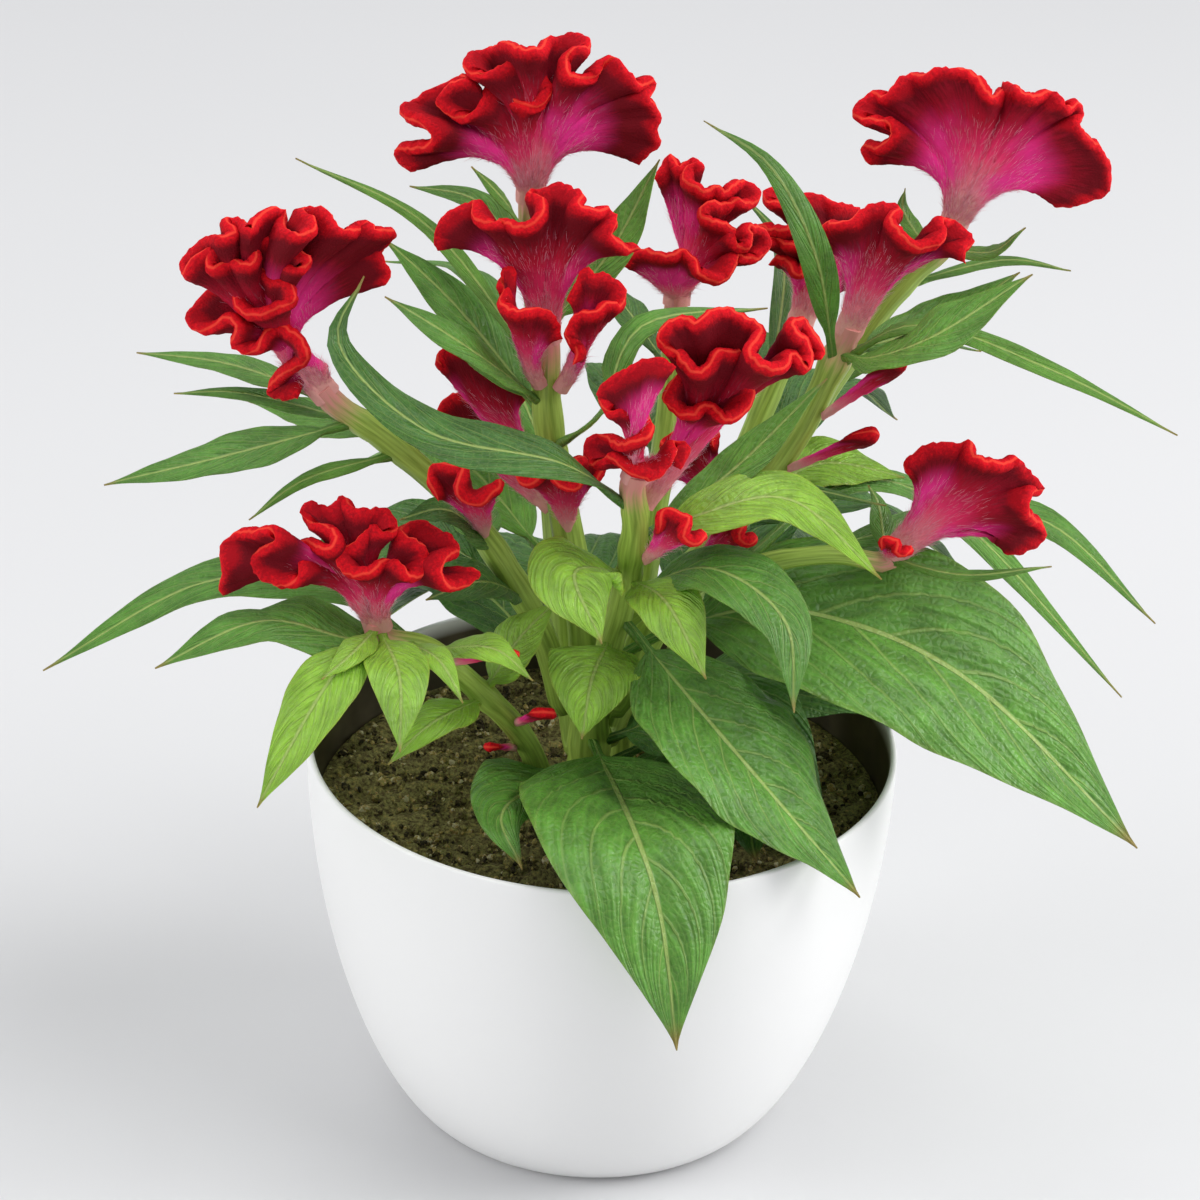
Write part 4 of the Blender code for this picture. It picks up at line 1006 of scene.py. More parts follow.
@dataclass(frozen=True)
class CombVelvet:
    """Cockscomb velvet: a dense nap of tiny blossoms, with painted shade laid into its folds.

    The eye sees scarlet lips, painted lighter where they face up, with a thin painted highlight
    along the crest's edge, crimson folds painted almost black with shade, and a silky rose fan with
    magenta flanks that runs down to a pale neck; below the lips the fan is painted deep wine,
    partly its own colour and partly shade.
    """

    name: str = "cockscomb_velvet"
    root: str = "#E2A39C"
    neck: str = "#EE8C98"
    rose: str = "#EE366E"
    wine: str = "#B0122E"
    # Deep wine below the lips: partly the fan's own crimson, partly painted shade under the lips.
    shaded_wine: str = "#6E0816"
    scarlet: str = "#E20F1E"
    ember: str = "#A60718"
    # The painted highlight along the crest's edge.
    crest: str = "#FA4A38"
    # Painted shade in the folds.
    painted_fold_shade: str = "#3E0208"
    silk: str = "#F094B0"
    bloom: str = "#F8389A"
    nap_mm: float = 0.5
    patch_mm: float = 12.0

    def material(self) -> bpy.types.Material:
        """Builds the finish.

        Returns:
            The material.
        """
        finish, add, shader = new_finish(self.name)
        rise, edge, painted_fold_shade, flank, rosy, painted_top_light = (
            add("Attribute", attribute_name=name, out="Fac")
            for name in ("rise", "edge_mm", "painted_fold_shade", "flank", "rosy", "painted_top_light")
        )
        here = add("TexCoord", out="Object")
        radial = add("UVMap", uv_map="sheet")
        silk_lines = add("Mapping", {"Vector": radial, "Scale": (14.0, 1.8, 1.0)})
        streak = add(
            "TexNoise", {"Vector": silk_lines, "Scale": 1.0, "Detail": 3.0, "Roughness": 0.6},
        )
        nap = add("TexNoise", {"Vector": here, "Scale": 1.0 / (self.nap_mm * MM), "Detail": 2.0})
        patches = add(
            "TexNoise", {"Vector": here, "Scale": 1.0 / (self.patch_mm * MM), "Detail": 2.0},
        )
        shifted = add("Math", {0: streak, 1: 0.34, 2: -0.17}, operation="MULTIPLY_ADD")
        paler = add("Math", {0: rosy, 1: -0.16, 2: shifted}, operation="MULTIPLY_ADD")
        bent_rise = add("Math", {0: rise, 1: paler}, operation="ADD", use_clamp=True)
        # The ramp's last stop is partly painted shade below the lips.
        base = add(
            "ValToRGB", {"Fac": bent_rise},
            stops=(
                (0.0, self.root), (0.05, self.neck), (0.3, self.rose), (0.54, self.wine),
                (0.76, self.shaded_wine),
            ),
        )
        toward_flank = add("Math", {0: patches, 1: 0.9, 2: -0.45}, operation="MULTIPLY_ADD")
        flank_place = add("Math", {0: flank, 1: toward_flank}, operation="ADD")
        flank_patch = add("Math", {0: rosy, 1: 0.4, 2: flank_place}, operation="MULTIPLY_ADD")
        lit_patch = add(
            "MapRange", {"Value": flank_patch, "From Min": 0.64, "From Max": 1.04, "To Max": 0.88},
            **SMOOTH,
        )
        above_neck = add("MapRange", {"Value": rise, "From Min": 0.12, "From Max": 0.4}, **SMOOTH)
        below_lip = add("MapRange", {"Value": rise, "From Min": 0.84, "From Max": 0.56}, **SMOOTH)
        fan = add("Math", {0: above_neck, 1: below_lip}, operation="MULTIPLY")
        bloom_share = add("Math", {0: fan, 1: lit_patch}, operation="MULTIPLY")
        base = add("Mix", {0: bloom_share, 6: base, 7: linear(self.bloom)}, **COLOURS)
        silk_hairs = add(
            "MapRange", {"Value": streak, "From Min": 0.52, "From Max": 0.74, "To Max": 0.32},
            **SMOOTH,
        )
        silk_share = add("Math", {0: silk_hairs, 1: below_lip}, operation="MULTIPLY")
        base = add("Mix", {0: silk_share, 6: base, 7: linear(self.silk)}, **COLOURS)
        nap_reach = add("Math", {0: nap, 1: 2.6, 2: -1.3}, operation="MULTIPLY_ADD")
        napped_edge = add("Math", {0: edge, 1: nap_reach}, operation="ADD")
        # Painted top light: faces that point up count as nearer the lip, so more of them turn
        # scarlet.
        lip_place = add("Math", {0: painted_top_light, 1: -3.4, 2: napped_edge}, operation="MULTIPLY_ADD")
        lip_share = add(
            "MapRange", {"Value": lip_place, "From Min": 4.4, "From Max": 1.4}, **SMOOTH,
        )
        high_lip = add("MapRange", {"Value": rise, "From Min": 0.45, "From Max": 0.7}, **SMOOTH)
        lip_share = add("Math", {0: lip_share, 1: high_lip}, operation="MULTIPLY")
        glow = add(
            "TexNoise",
            {"Vector": here, "Scale": 1.0 / (0.8 * MM), "Detail": 3.0, "Roughness": 0.6},
        )
        nearer = add("Math", {0: edge, 1: -0.12, 2: glow}, operation="MULTIPLY_ADD")
        lip_color = add("ValToRGB", {"Fac": nearer}, stops=((0.1, self.ember), (0.5, self.scarlet)))
        base = add("Mix", {0: lip_share, 6: base, 7: lip_color}, **COLOURS)
        # Painted shade: the deeper a place lies in a fold, the nearer black its colour is painted.
        shade_share = add(
            "MapRange", {"Value": painted_fold_shade, "From Min": 0.15, "From Max": 1.8, "To Max": 0.85},
            **SMOOTH,
        )
        above_fan = add("MapRange", {"Value": rise, "From Min": 0.35, "From Max": 0.6}, **SMOOTH)
        painted_fold_shade_share = add("Math", {0: shade_share, 1: above_fan}, operation="MULTIPLY")
        base = add("Mix", {0: painted_fold_shade_share, 6: base, 7: linear(self.painted_fold_shade)}, **COLOURS)
        # A painted highlight: a thin bright line along the crest's edge.
        crest_highlight = add(
            "MapRange", {"Value": edge, "From Min": 0.55, "From Max": 0.08, "To Max": 0.8},
            **SMOOTH,
        )
        base = add("Mix", {0: crest_highlight, 6: base, 7: linear(self.crest)}, **COLOURS)
        finish.node_tree.links.new(base, shader.inputs["Base Color"])
        fibre = add("Math", {0: streak, 1: above_neck}, operation="MULTIPLY")
        grain = add("Math", {0: nap, 1: fibre}, operation="ADD")
        bump = add("Bump", {"Height": grain, "Strength": 0.6, "Distance": 0.35 * MM})
        finish.node_tree.links.new(bump, shader.inputs["Normal"])
        shader.inputs["Roughness"].default_value = 0.75
        shader.inputs["Specular IOR Level"].default_value = 0.12
        shader.inputs["Sheen Weight"].default_value = 0.12
        shader.inputs["Sheen Roughness"].default_value = 0.4
        shader.inputs["Sheen Tint"].default_value = linear("#FF3A58")
        return finish


@dataclass(frozen=True)
class SilkBristle:
    """The silky bristles of the fan: dry, glossy scales that shine white to pink at their tips."""

    name: str = "silky_bristle"
    root: str = "#DC5A7C"
    middle: str = "#EE9CB6"
    tip: str = "#FCE8EE"

    def material(self) -> bpy.types.Material:
        """Builds the finish."""
        finish, add, shader = new_finish(self.name)
        along = add("Attribute", attribute_name="along", out="Fac")
        color = add(
            "ValToRGB", {"Fac": along},
            stops=((0.0, self.root), (0.4, self.middle), (0.95, self.tip)),
        )
        finish.node_tree.links.new(color, shader.inputs["Base Color"])
        shader.inputs["Roughness"].default_value = 0.38
        shader.inputs["Specular IOR Level"].default_value = 0.5
        return finish


@dataclass(frozen=True)
class LeafSkin:
    """Leaf skin: a waxy, slightly quilted green blade with raised yellow-green veins.

    The eye sees satin light on the pillows between the veins, partly painted in as lighter pillows
    and deeper dips, a pale midrib and arched side veins, and on young leaves a lime colour with a
    thin bronze margin and tip. Leaves in shade are painted a deeper green.
    """

    name: str = "celosia_leaf"
    # Deep green: partly grown leaves' own colour, partly painted shade on leaves in shade.
    deep: str = "#44712D"
    fresh: str = "#5B9035"
    young: str = "#8FBE3C"
    vein: str = "#B6CC74"
    bronze: str = "#A9632F"
    side_veins: float = 9.0
    net_mm: float = 1.9
    pillow_mm: float = 3.6

    def material(self) -> bpy.types.Material:
        """Builds the finish.

        Returns:
            The material.
        """
        finish, add, shader = new_finish(self.name)
        youth, half = (
            add("Attribute", attribute_name=name, out="Fac")
            for name in ("youth", "half_mm")
        )
        blade = add("UVMap", uv_map="sheet")
        here = add("TexCoord", out="Object")
        level_across, level_along = (
            add("SeparateXYZ", {"Vector": blade}, out=axis) for axis in ("X", "Y")
        )
        centred = add("Math", {0: level_across, 1: 2.0, 2: -1.0}, operation="MULTIPLY_ADD")
        across = add("Math", {0: centred}, operation="ABSOLUTE")
        off_rib = add("Math", {0: across, 1: half}, operation="MULTIPLY")
        body = add(
            "ValToRGB", {"Fac": youth},
            stops=((0.0, self.deep), (0.45, self.fresh), (1.0, self.young)),
        )
        mottle = add("TexNoise", {"Vector": here, "Scale": 1.0 / (7.0 * MM), "Detail": 4.0})
        dull = add(
            "MapRange",
            {"Value": mottle, "From Min": 0.3, "From Max": 0.7, "To Min": 0.78, "To Max": 1.18},
        )
        body = add("Mix", {0: 1.0, 6: body, 7: dull}, **TINTED)
        beside_rib = add("Math", {0: half, 1: -0.016, 2: off_rib}, operation="MULTIPLY_ADD")
        rib_line = add(
            "MapRange", {"Value": beside_rib, "From Min": 0.52, "From Max": 0.08}, **SMOOTH,
        )
        arch = add("Math", {0: across, 1: 0.12, 2: 0.2}, operation="MULTIPLY_ADD")
        ahead = add("Math", {0: arch, 1: across}, operation="MULTIPLY")
        level = add("Math", {0: level_along, 1: ahead}, operation="SUBTRACT")
        right_half = add("Math", {0: centred, 1: 0.0}, operation="GREATER_THAN")
        shifted = add("Math", {0: right_half, 1: 0.5}, operation="MULTIPLY")
        turns = add("Math", {0: level, 1: self.side_veins, 2: shifted}, operation="MULTIPLY_ADD")
        turn = add("Math", {0: turns}, operation="FRACT")
        beside = add("Math", {0: turn, 1: 0.5}, operation="SUBTRACT")
        off_vein = add("Math", {0: beside}, operation="ABSOLUTE")
        vein_line = add(
            "MapRange", {"Value": off_vein, "From Min": 0.075, "From Max": 0.02}, **SMOOTH,
        )
        fading = add(
            "MapRange",
            {"Value": across, "From Min": 0.25, "From Max": 0.95, "To Min": 1.0, "To Max": 0.45},
        )
        vein_line = add("Math", {0: vein_line, 1: fading}, operation="MULTIPLY")
        quilt_place = add(
            "CombineXYZ",
            {
                "X": add("Math", {0: off_rib, 1: 1.0 / self.pillow_mm}, operation="MULTIPLY"),
                "Y": add("Math", {0: turns, 1: 3.2}, operation="MULTIPLY"), "Z": 0.0,
            },
        )
        quilt = add(
            "TexNoise", {"Vector": quilt_place, "Scale": 1.0, "Detail": 1.5, "Roughness": 0.5},
        )
        # Painted light and shade: the pillows of the quilt are painted lighter and its dips deeper.
        quilt_light_and_shade = add(
            "MapRange",
            {"Value": quilt, "From Min": 0.32, "From Max": 0.68, "To Min": 0.8, "To Max": 1.24},
        )
        body = add("Mix", {0: 1.0, 6: body, 7: quilt_light_and_shade}, **TINTED)
        net = add(
            "TexVoronoi", {"Vector": here, "Scale": 1.0 / (self.net_mm * MM)},
            feature="DISTANCE_TO_EDGE",
        )
        net_line = add(
            "MapRange", {"Value": net, "From Min": 0.12, "From Max": 0.0, "To Max": 0.12},
        )
        faint_vein = add("Math", {0: vein_line, 1: 0.48}, operation="MULTIPLY")
        strongest = add("Math", {0: rib_line, 1: faint_vein}, operation="MAXIMUM")
        lines = add("Math", {0: strongest, 1: net_line}, operation="MAXIMUM")
        line_share = add("Math", {0: lines, 1: 0.72}, operation="MULTIPLY")
        body = add("Mix", {0: line_share, 6: body, 7: linear(self.vein)}, **COLOURS)
        margin = add("MapRange", {"Value": across, "From Min": 0.93, "From Max": 1.0}, **SMOOTH)
        tip = add("MapRange", {"Value": level_along, "From Min": 0.93, "From Max": 1.0}, **SMOOTH)
        young_margin = add("Math", {0: margin, 1: youth}, operation="MULTIPLY")
        faint_margin = add("Math", {0: young_margin, 1: 0.3}, operation="MULTIPLY")
        dry = add("Math", {0: faint_margin, 1: tip}, operation="MAXIMUM")
        dry_share = add("Math", {0: dry, 1: 0.6}, operation="MULTIPLY")
        body = add("Mix", {0: dry_share, 6: body, 7: linear(self.bronze)}, **COLOURS)
        finish.node_tree.links.new(body, shader.inputs["Base Color"])
        ridge = add("Math", {0: strongest, 1: 1.4, 2: mottle}, operation="MULTIPLY_ADD")
        quilted = add("Math", {0: quilt, 1: 2.6, 2: ridge}, operation="MULTIPLY_ADD")
        relief = add("Math", {0: quilted, 1: net}, operation="ADD")
        bump = add("Bump", {"Height": relief, "Strength": 0.65, "Distance": 0.7 * MM})
        finish.node_tree.links.new(bump, shader.inputs["Normal"])
        shader.inputs["Roughness"].default_value = 0.42
        shader.inputs["Specular IOR Level"].default_value = 0.45
        shader.inputs["Subsurface Weight"].default_value = 0.12
        shader.inputs["Subsurface Radius"].default_value = (0.5, 1.0, 0.2)
        shader.inputs["Subsurface Scale"].default_value = 1.2 * MM
        return finish


@dataclass(frozen=True)
class StemSkin:
    """Stem skin: a smooth, ribbed green rind that blushes pink below the blooms."""

    name: str = "celosia_stem"
    low: str = "#7E9A38"
    high: str = "#AECB5A"
    blush: str = "#DE8F8C"

    def material(self) -> bpy.types.Material:
        """Builds the finish."""
        finish, add, shader = new_finish(self.name)
        blush = add("Attribute", attribute_name="blush", out="Fac")
        bark = add("UVMap", uv_map="sheet")
        lines = add("Mapping", {"Vector": bark, "Scale": (26.0, 3.0, 1.0)})
        fibre = add("TexNoise", {"Vector": lines, "Scale": 1.0, "Detail": 3.0})
        body = add("ValToRGB", {"Fac": fibre}, stops=((0.32, self.low), (0.66, self.high)))
        spread = add("Math", {0: fibre, 1: 0.7, 2: blush}, operation="MULTIPLY_ADD")
        warm = add(
            "MapRange", {"Value": spread, "From Min": 0.72, "From Max": 1.22, "To Max": 0.95},
        )
        body = add("Mix", {0: warm, 6: body, 7: linear(self.blush)}, **COLOURS)
        finish.node_tree.links.new(body, shader.inputs["Base Color"])
        bump = add("Bump", {"Height": fibre, "Strength": 0.4, "Distance": 0.3 * MM})
        finish.node_tree.links.new(bump, shader.inputs["Normal"])
        shader.inputs["Roughness"].default_value = 0.48
        shader.inputs["Specular IOR Level"].default_value = 0.4
        return finish


@dataclass(frozen=True)
class PotPlastic:
    """Moulded polypropylene with a satin skin, white outside; inside, soil stains and painted shade
    on the deep inner wall.
    """

    name: str = "satin_polypropylene"
    white: str = "#F9F9F8"
    # The inner wall's colour: partly soil stains, partly painted shade.
    stain_and_shade: str = "#5C5442"

    def material(self) -> bpy.types.Material:
        """Builds the finish."""
        finish, add, shader = new_finish(self.name)
        inside = add("Attribute", attribute_name="inside", out="Fac")
        here = add("TexCoord", out="Object")
        smear = add("TexNoise", {"Vector": here, "Scale": 1.0 / (9.0 * MM), "Detail": 5.0})
        # Painted shade and soil stains on the inner wall.
        earth_and_shade = add("ValToRGB", {"Fac": smear}, stops=((0.3, "#3B3629"), (0.7, self.stain_and_shade)))
        color = add("Mix", {0: inside, 6: linear(self.white), 7: earth_and_shade}, **COLOURS)
        finish.node_tree.links.new(color, shader.inputs["Base Color"])
        skin = add("TexNoise", {"Vector": here, "Scale": 1.0 / (0.9 * MM), "Detail": 2.0})
        gloss = add("MapRange", {"Value": smear, "To Min": 0.3, "To Max": 0.42})
        finish.node_tree.links.new(gloss, shader.inputs["Roughness"])
        bump = add("Bump", {"Height": skin, "Strength": 0.12, "Distance": 0.05 * MM})
        finish.node_tree.links.new(bump, shader.inputs["Normal"])
        shader.inputs["IOR"].default_value = 1.49
        return finish


@dataclass(frozen=True)
class PottingMix:
    """Moist potting mix: crumbs of peat and bark among ochre and pale grains."""

    name: str = "potting_mix"
    peat: str = "#302B1A"
    bark: str = "#7A6E44"
    moss: str = "#94945A"
    ochre: str = "#C0A25C"
    pale: str = "#DCD6AE"

    def material(self) -> bpy.types.Material:
        """Builds the finish."""
        finish, add, shader = new_finish(self.name)
        grain = add("Attribute", attribute_name="grain", out="Fac")
        here = add("TexCoord", out="Object")
        crumbs = add(
            "TexNoise",
            {"Vector": here, "Scale": 1.0 / (1.1 * MM), "Detail": 4.0, "Roughness": 0.7},
        )
        mixed = add("Math", {0: crumbs, 1: 2.2, 2: -1.1}, operation="MULTIPLY_ADD")
        level = add("Math", {0: grain, 1: mixed}, operation="ADD", use_clamp=True)
        color = add(
            "ValToRGB", {"Fac": level},
            stops=(
                (0.0, self.peat), (0.34, self.bark), (0.55, self.moss), (0.8, self.ochre),
                (1.0, self.pale),
            ),
        )
        finish.node_tree.links.new(color, shader.inputs["Base Color"])
        bump = add("Bump", {"Height": crumbs, "Strength": 0.8, "Distance": 0.6 * MM})
        finish.node_tree.links.new(bump, shader.inputs["Normal"])
        shader.inputs["Roughness"].default_value = 0.85
        shader.inputs["Specular IOR Level"].default_value = 0.3
        return finish


@dataclass(frozen=True)
class StudioPaper:
    """Matt pale paper that covers the table."""

    name: str = "studio_paper"
    grey: str = "#DEDEDF"

    def material(self) -> bpy.types.Material:
        """Builds the finish."""
        finish, add, shader = new_finish(self.name)
        here = add("TexCoord", out="Object")
        pulp = add("TexNoise", {"Vector": here, "Scale": 3.0, "Detail": 2.0})
        tone = add("MapRange", {"Value": pulp, "To Min": 0.985, "To Max": 1.015})
        color = add("Mix", {0: 1.0, 6: linear(self.grey), 7: tone}, **TINTED)
        finish.node_tree.links.new(color, shader.inputs["Base Color"])
        shader.inputs["Roughness"].default_value = 0.9
        shader.inputs["Specular IOR Level"].default_value = 0.1
        return finish


# Sub-assemblies


@dataclass
class VelvetComb:
    """One comb: a velvet sheet that grows out of its stem's end or side.

    Attributes:
        name: The comb's name.
        comb: Its reach, spread and ruffle.
        skeleton: The stems.
        pitch: The distance between two columns of faces along the crest, in mm.
        rise_rows: The number of rows of faces from the neck to the lip.
        lip_turns: How far round the lip each of the last rows lies from the crest, in degrees.
        lip_swell: How much thicker the velvet lip is than the solid's crest.
        ripple: How far the small waves swing, as a share of the large ones.
        flare: How much further the lips swing than the solid's crest.
        hang: How far the front lobes hang down, as a share of their swing.
        nap: The height of the velvet's bumps, in mm.
        crest: The places that the crest runs through, in mm from the neck.
        calm: How far along the crest its mean line is evened out, in mm.
        curl: How close to the lip the sheet swings out to its crest, as a power of the rise.
        sways: The height, the pace and the phase of the waves that spread the ruffles unevenly.
        swells: The same for the waves that make some ruffles deeper.
        lip_zone: The last share of the rise, in which the way to the crest is measured.
        seats: How far the sheet reaches into its stem's end or side, in mm.
        crinkle: How far the crest's finest waves swing, in mm.
        crinkles: For each set of those waves, the length of a wave and of its drift in mm, how
            far it drifts, and its swing by axis.
        bristle: The radius of a bristle in mm.
        bristle_lengths: The shortest and the longest bristle in mm.
        bristle_counts: The bristles for each mm of half the fan's width, and those of any comb.
        bristled: The lowest and the highest rise that they grow at.
    """

    name: str
    comb: Comb
    skeleton: Skeleton
    pitch: float = 1.0
    rise_rows: int = 30
    lip_turns: tuple[float, ...] = (90.0, 74.0, 58.0, 43.0, 29.0, 17.0, 8.0, 0.0)
    lip_swell: float = 1.05
    ripple: float = 0.10
    flare: float = 1.05
    hang: float = 0.60
    nap: float = 0.14
    crest: tuple[Point, ...] = ()
    calm: float = 12.0
    curl: float = 3.6
    sways: tuple[Point, ...] = ((0.9, 2.4, 1.0), (0.35, 6.7, 1.7))
    swells: tuple[Point, ...] = ((0.30, 5.3, 2.0), (0.22, 9.1, 3.1))
    lip_zone: float = 0.03
    seats: tuple[float, float] = (3.0, 2.6)
    crinkle: float = 0.30
    crinkles: tuple[tuple[float, float, float, Point], ...] = (
        (4.3, 17.0, 2.1, (0.3, 0.6, 0.3)), (2.9, 11.0, 1.3, (0.1, 0.2, 0.5)),
    )
    bristle: float = 0.045
    bristle_lengths: tuple[float, float] = (1.6, 4.0)
    bristle_counts: tuple[int, int] = (50, 60)
    bristled: tuple[float, float] = (0.02, 0.66)

    def frame(self) -> tuple[Array, Array, Array]:
        """Finds the comb's directions: across its fan, out of its face and along its axis."""
        up = unit(np.array(self.comb.axis or STEMS[self.comb.stem].tip_axis, float))
        across = np.array(self.comb.across, float)
        across = unit(across - up * np.dot(across, up))
        return across, np.cross(across, up), up

    def seat(self) -> Array:
        """Finds where the neck starts: on the stem's end, or just clear of the stem's side."""
        if not self.comb.at_height:
            return np.array(STEMS[self.comb.stem].places[-1]) * MM
        across, out, up = self.frame()
        centre, radius, _ = self.skeleton.at(self.comb.stem, self.comb.at_height * MM)
        corners = [
            (across * self.comb.neck * side + out * self.comb.thick[0] / 2 * face) * MM
            for side in (-1, 0, 1) for face in (-1, 1)
        ]
        top = centre + up * radius
        return self.skeleton.clear_place(self.comb.stem, top, up, np.array(corners))

    def offsets(self, side: Array, rise: Array) -> Array:
        """Finds places on the sheet, in metres.

        Args:
            side: The place along the crest, from -1 to 1.
            rise: The place from the neck, 0, to the crest, 1. It is below 0 inside the stem.

        Returns:
            One place for each vertex.
        """
        return self.along_crest(side, rise) if self.crest else self.ruffled(side, rise)

    def along_crest(self, side: Array, rise: Array) -> Array:
        """Finds places on a sheet whose crest runs through set points.

        The fan rises from the neck to the crest's mean line, and swings out to the crest itself
        only near its lip.

        Args:
            side: The place along the crest, from -1 to 1.
            rise: The place from the neck to the crest.

        Returns:
            One place for each vertex.
        """
        shares = np.linspace(0.0, 1.0, CREST_PLACES)
        points = [np.array(point) for point in self.crest]
        line = smooth_path(points, shares)
        length = float(np.linalg.norm(np.diff(line, axis=0), axis=1).sum())
        around = np.concatenate([2 * line[0] - line[:0:-1], line, 2 * line[-1] - line[-2::-1]])
        gap = (shares[:, None] - np.linspace(-1.0, 2.0, len(around))) * length / self.calm
        weights = np.exp(-0.5 * gap**2)
        mean = weights @ around / weights.sum(axis=1, keepdims=True)
        place = (side + 1) / 2
        mean, swing = (
            np.stack([np.interp(place, shares, path[:, axis]) for axis in range(3)], axis=1)
            for path in (mean, line - mean)
        )
        across, _, up = self.frame()
        root = across * (self.comb.neck * side)[:, None]
        tall = np.maximum((mean - root) @ up, 0.0)[:, None]
        wide = mean - root - tall * up
        high = np.maximum(rise, 0.0)[:, None]
        below = np.minimum(rise, 0.0)[:, None] * self.comb.reach * up
        arch = self.comb.arch * np.linalg.norm(wide, axis=1, keepdims=True) * side[:, None] ** 4
        fan = up * tall * (1 - (1 - high) ** 1.25) + wide * high**self.comb.splay
        fan = fan + up * arch * np.sin(math.pi * high**1.2)
        places = self.seat() + (root + below + fan + swing * high**self.curl) * MM
        beat = (side * length / 2)[:, None] * math.tau
        crinkle = sum(
            np.sin(beat / wave + bend * np.sin(beat / drift)) * np.array(swings)
            for wave, drift, bend, swings in self.crinkles
        )
        return places + crinkle * self.crinkle * high**9 * MM

    def ruffled(self, side: Array, rise: Array) -> Array:
        """Finds places on a sheet whose crest is ruffled in waves.

        Args:
            side: The place along the crest, from -1 to 1.
            rise: The place from the neck to the crest.

        Returns:
            One place for each vertex.
        """
        comb = self.comb
        up_rise = np.maximum(rise, 0.0)
        angle = math.radians(comb.spread) * side * (0.30 + 0.70 * up_rise)
        reach = comb.reach * rise * (1 - comb.drop * np.abs(side) ** 2.5) * (1 + comb.skew * side)
        turn = math.pi * comb.folds * side + comb.phase
        for height, pace, phase in self.sways:
            turn = turn + height * np.sin(pace * side + phase * comb.phase)
        uneven = 1
        for height, pace, phase in self.swells:
            uneven = uneven + height * np.sin(pace * side + phase * comb.phase)
        swing = self.flare * comb.depth * up_rise**5 * uneven
        lobe = np.sin(turn)
        small = self.ripple * swing * up_rise**3 * np.sin(3.7 * turn + 1.3 * comb.phase)
        slow = 0.35 * comb.depth * np.sin(2.9 * side + 1.3 * comb.phase) * up_rise**2
        out = swing * lobe + small + slow + comb.cup * side**2 * up_rise
        slide = -0.42 * swing * np.sin(2 * turn)
        forward = np.clip(lobe, 0.0, None)
        backward = np.clip(-lobe, 0.0, None)
        reach = reach - swing * (self.hang * forward**1.5 + 0.15 * backward**2) + 0.5 * small
        neck = comb.neck * np.clip(1 + 0.35 * rise * comb.reach / 3.0, 0.5, 1.0)
        sideways = neck * side + reach * np.sin(angle) + slide * np.cos(angle)
        upward = reach * np.cos(angle) - slide * np.sin(angle)
        ways = np.array(self.frame())
        return self.seat() + np.stack([sideways, out, upward], axis=1) @ ways * MM

    def build(self, velvet: bpy.types.Material, silk: bpy.types.Material) -> bpy.types.Object:
        """Builds the comb with its bristles.

        Args:
            velvet: The finish of the sheet.
            silk: The finish of the bristles.

        Returns:
            The comb.
        """
        comb = self.comb
        steps = np.linspace(-1.0, 1.0, CREST_PLACES)
        edge = self.offsets(steps, np.ones(CREST_PLACES))
        inside = self.offsets(steps, np.full(CREST_PLACES, 1 - self.lip_zone))
        arc = np.concatenate([[0.0], np.cumsum(np.linalg.norm(np.diff(edge, axis=0), axis=1))]) / MM
        columns = int(np.clip(arc[-1] / self.pitch, 12, 290))
        lip = min(0.5 * self.lip_swell * comb.thick[1], 0.25 * comb.reach)
        turns = np.radians(self.lip_turns)
        below = lip * (1 - np.cos(turns))
        climb = np.linalg.norm(edge - inside, axis=1) / (self.lip_zone * MM)
        climb = np.maximum(climb, 4 * below[0])

        rows = self.rise_rows + len(turns)
        made, across, along = sheet("comb_velvet_" + self.name, columns, rows)
        row = np.round(along * rows).astype(int)
        side = 2 * across - 1
        steep = np.interp(side, steps, climb)
        share = np.linspace(0.0, 1.0, self.rise_rows)
        root = -self.seats[bool(comb.at_height)] / comb.reach
        fan = np.array([root, root / 2, *(1 - (1 - share) ** 1.5), *np.ones(len(turns) - 1)])[row]
        depth = np.array([*np.full(self.rise_rows + 2, below[0]), *below[1:]])[row]
        rise = np.where(fan > 0, fan * (1 - depth / steep), fan)
        profile = np.array([*np.ones(self.rise_rows + 2), *np.maximum(np.sin(turns[1:]), 0.12)])
        places = self.offsets(side, rise)
        move_places(made, places)
        note(made, "rise", rise)
        note(made, "edge_mm", self.edge_distance(places, side, row, lip * turns))
        note(made, "flank", np.abs(side))
        note(made, "rosy", comb.rosy)
        lay_uv(made, "sheet", np.interp(side, steps, arc) / 10, rise * comb.reach / 10)
        thicken(made, self.thickness(side, rise) * profile[row])
        shade(made, 80)
        self.fluff(made)
        dress(made, velvet)
        return joined("comb_velvet_" + self.name, [made, *self.bristles(made, silk)])

    def edge_distance(self, places: Array, side: Array, row: Array, round_lip: Array) -> Array:
        """Measures how far each place of the sheet lies from the crest along the velvet.

        Args:
            places: The sheet's vertices.
            side: Their places along the crest.
            row: Their rows, from the neck to the crest.
            round_lip: The distance round the lip from the crest to each of the last rows, in mm.

        Returns:
            The distances in mm.
        """
        rows, order = int(row.max()) + 1, np.lexsort((side, row))
        grid = places[order].reshape(rows, -1, 3)
        steps = np.linalg.norm(np.diff(grid, axis=0), axis=2) / MM
        distance = np.zeros(grid.shape[:2])
        top = rows - len(round_lip)
        distance[top:] = round_lip[:, None]
        for level in range(top - 1, -1, -1):
            distance[level] = distance[level + 1] + steps[level]
        flat = np.empty(len(places))
        flat[order] = distance.ravel()
        return flat

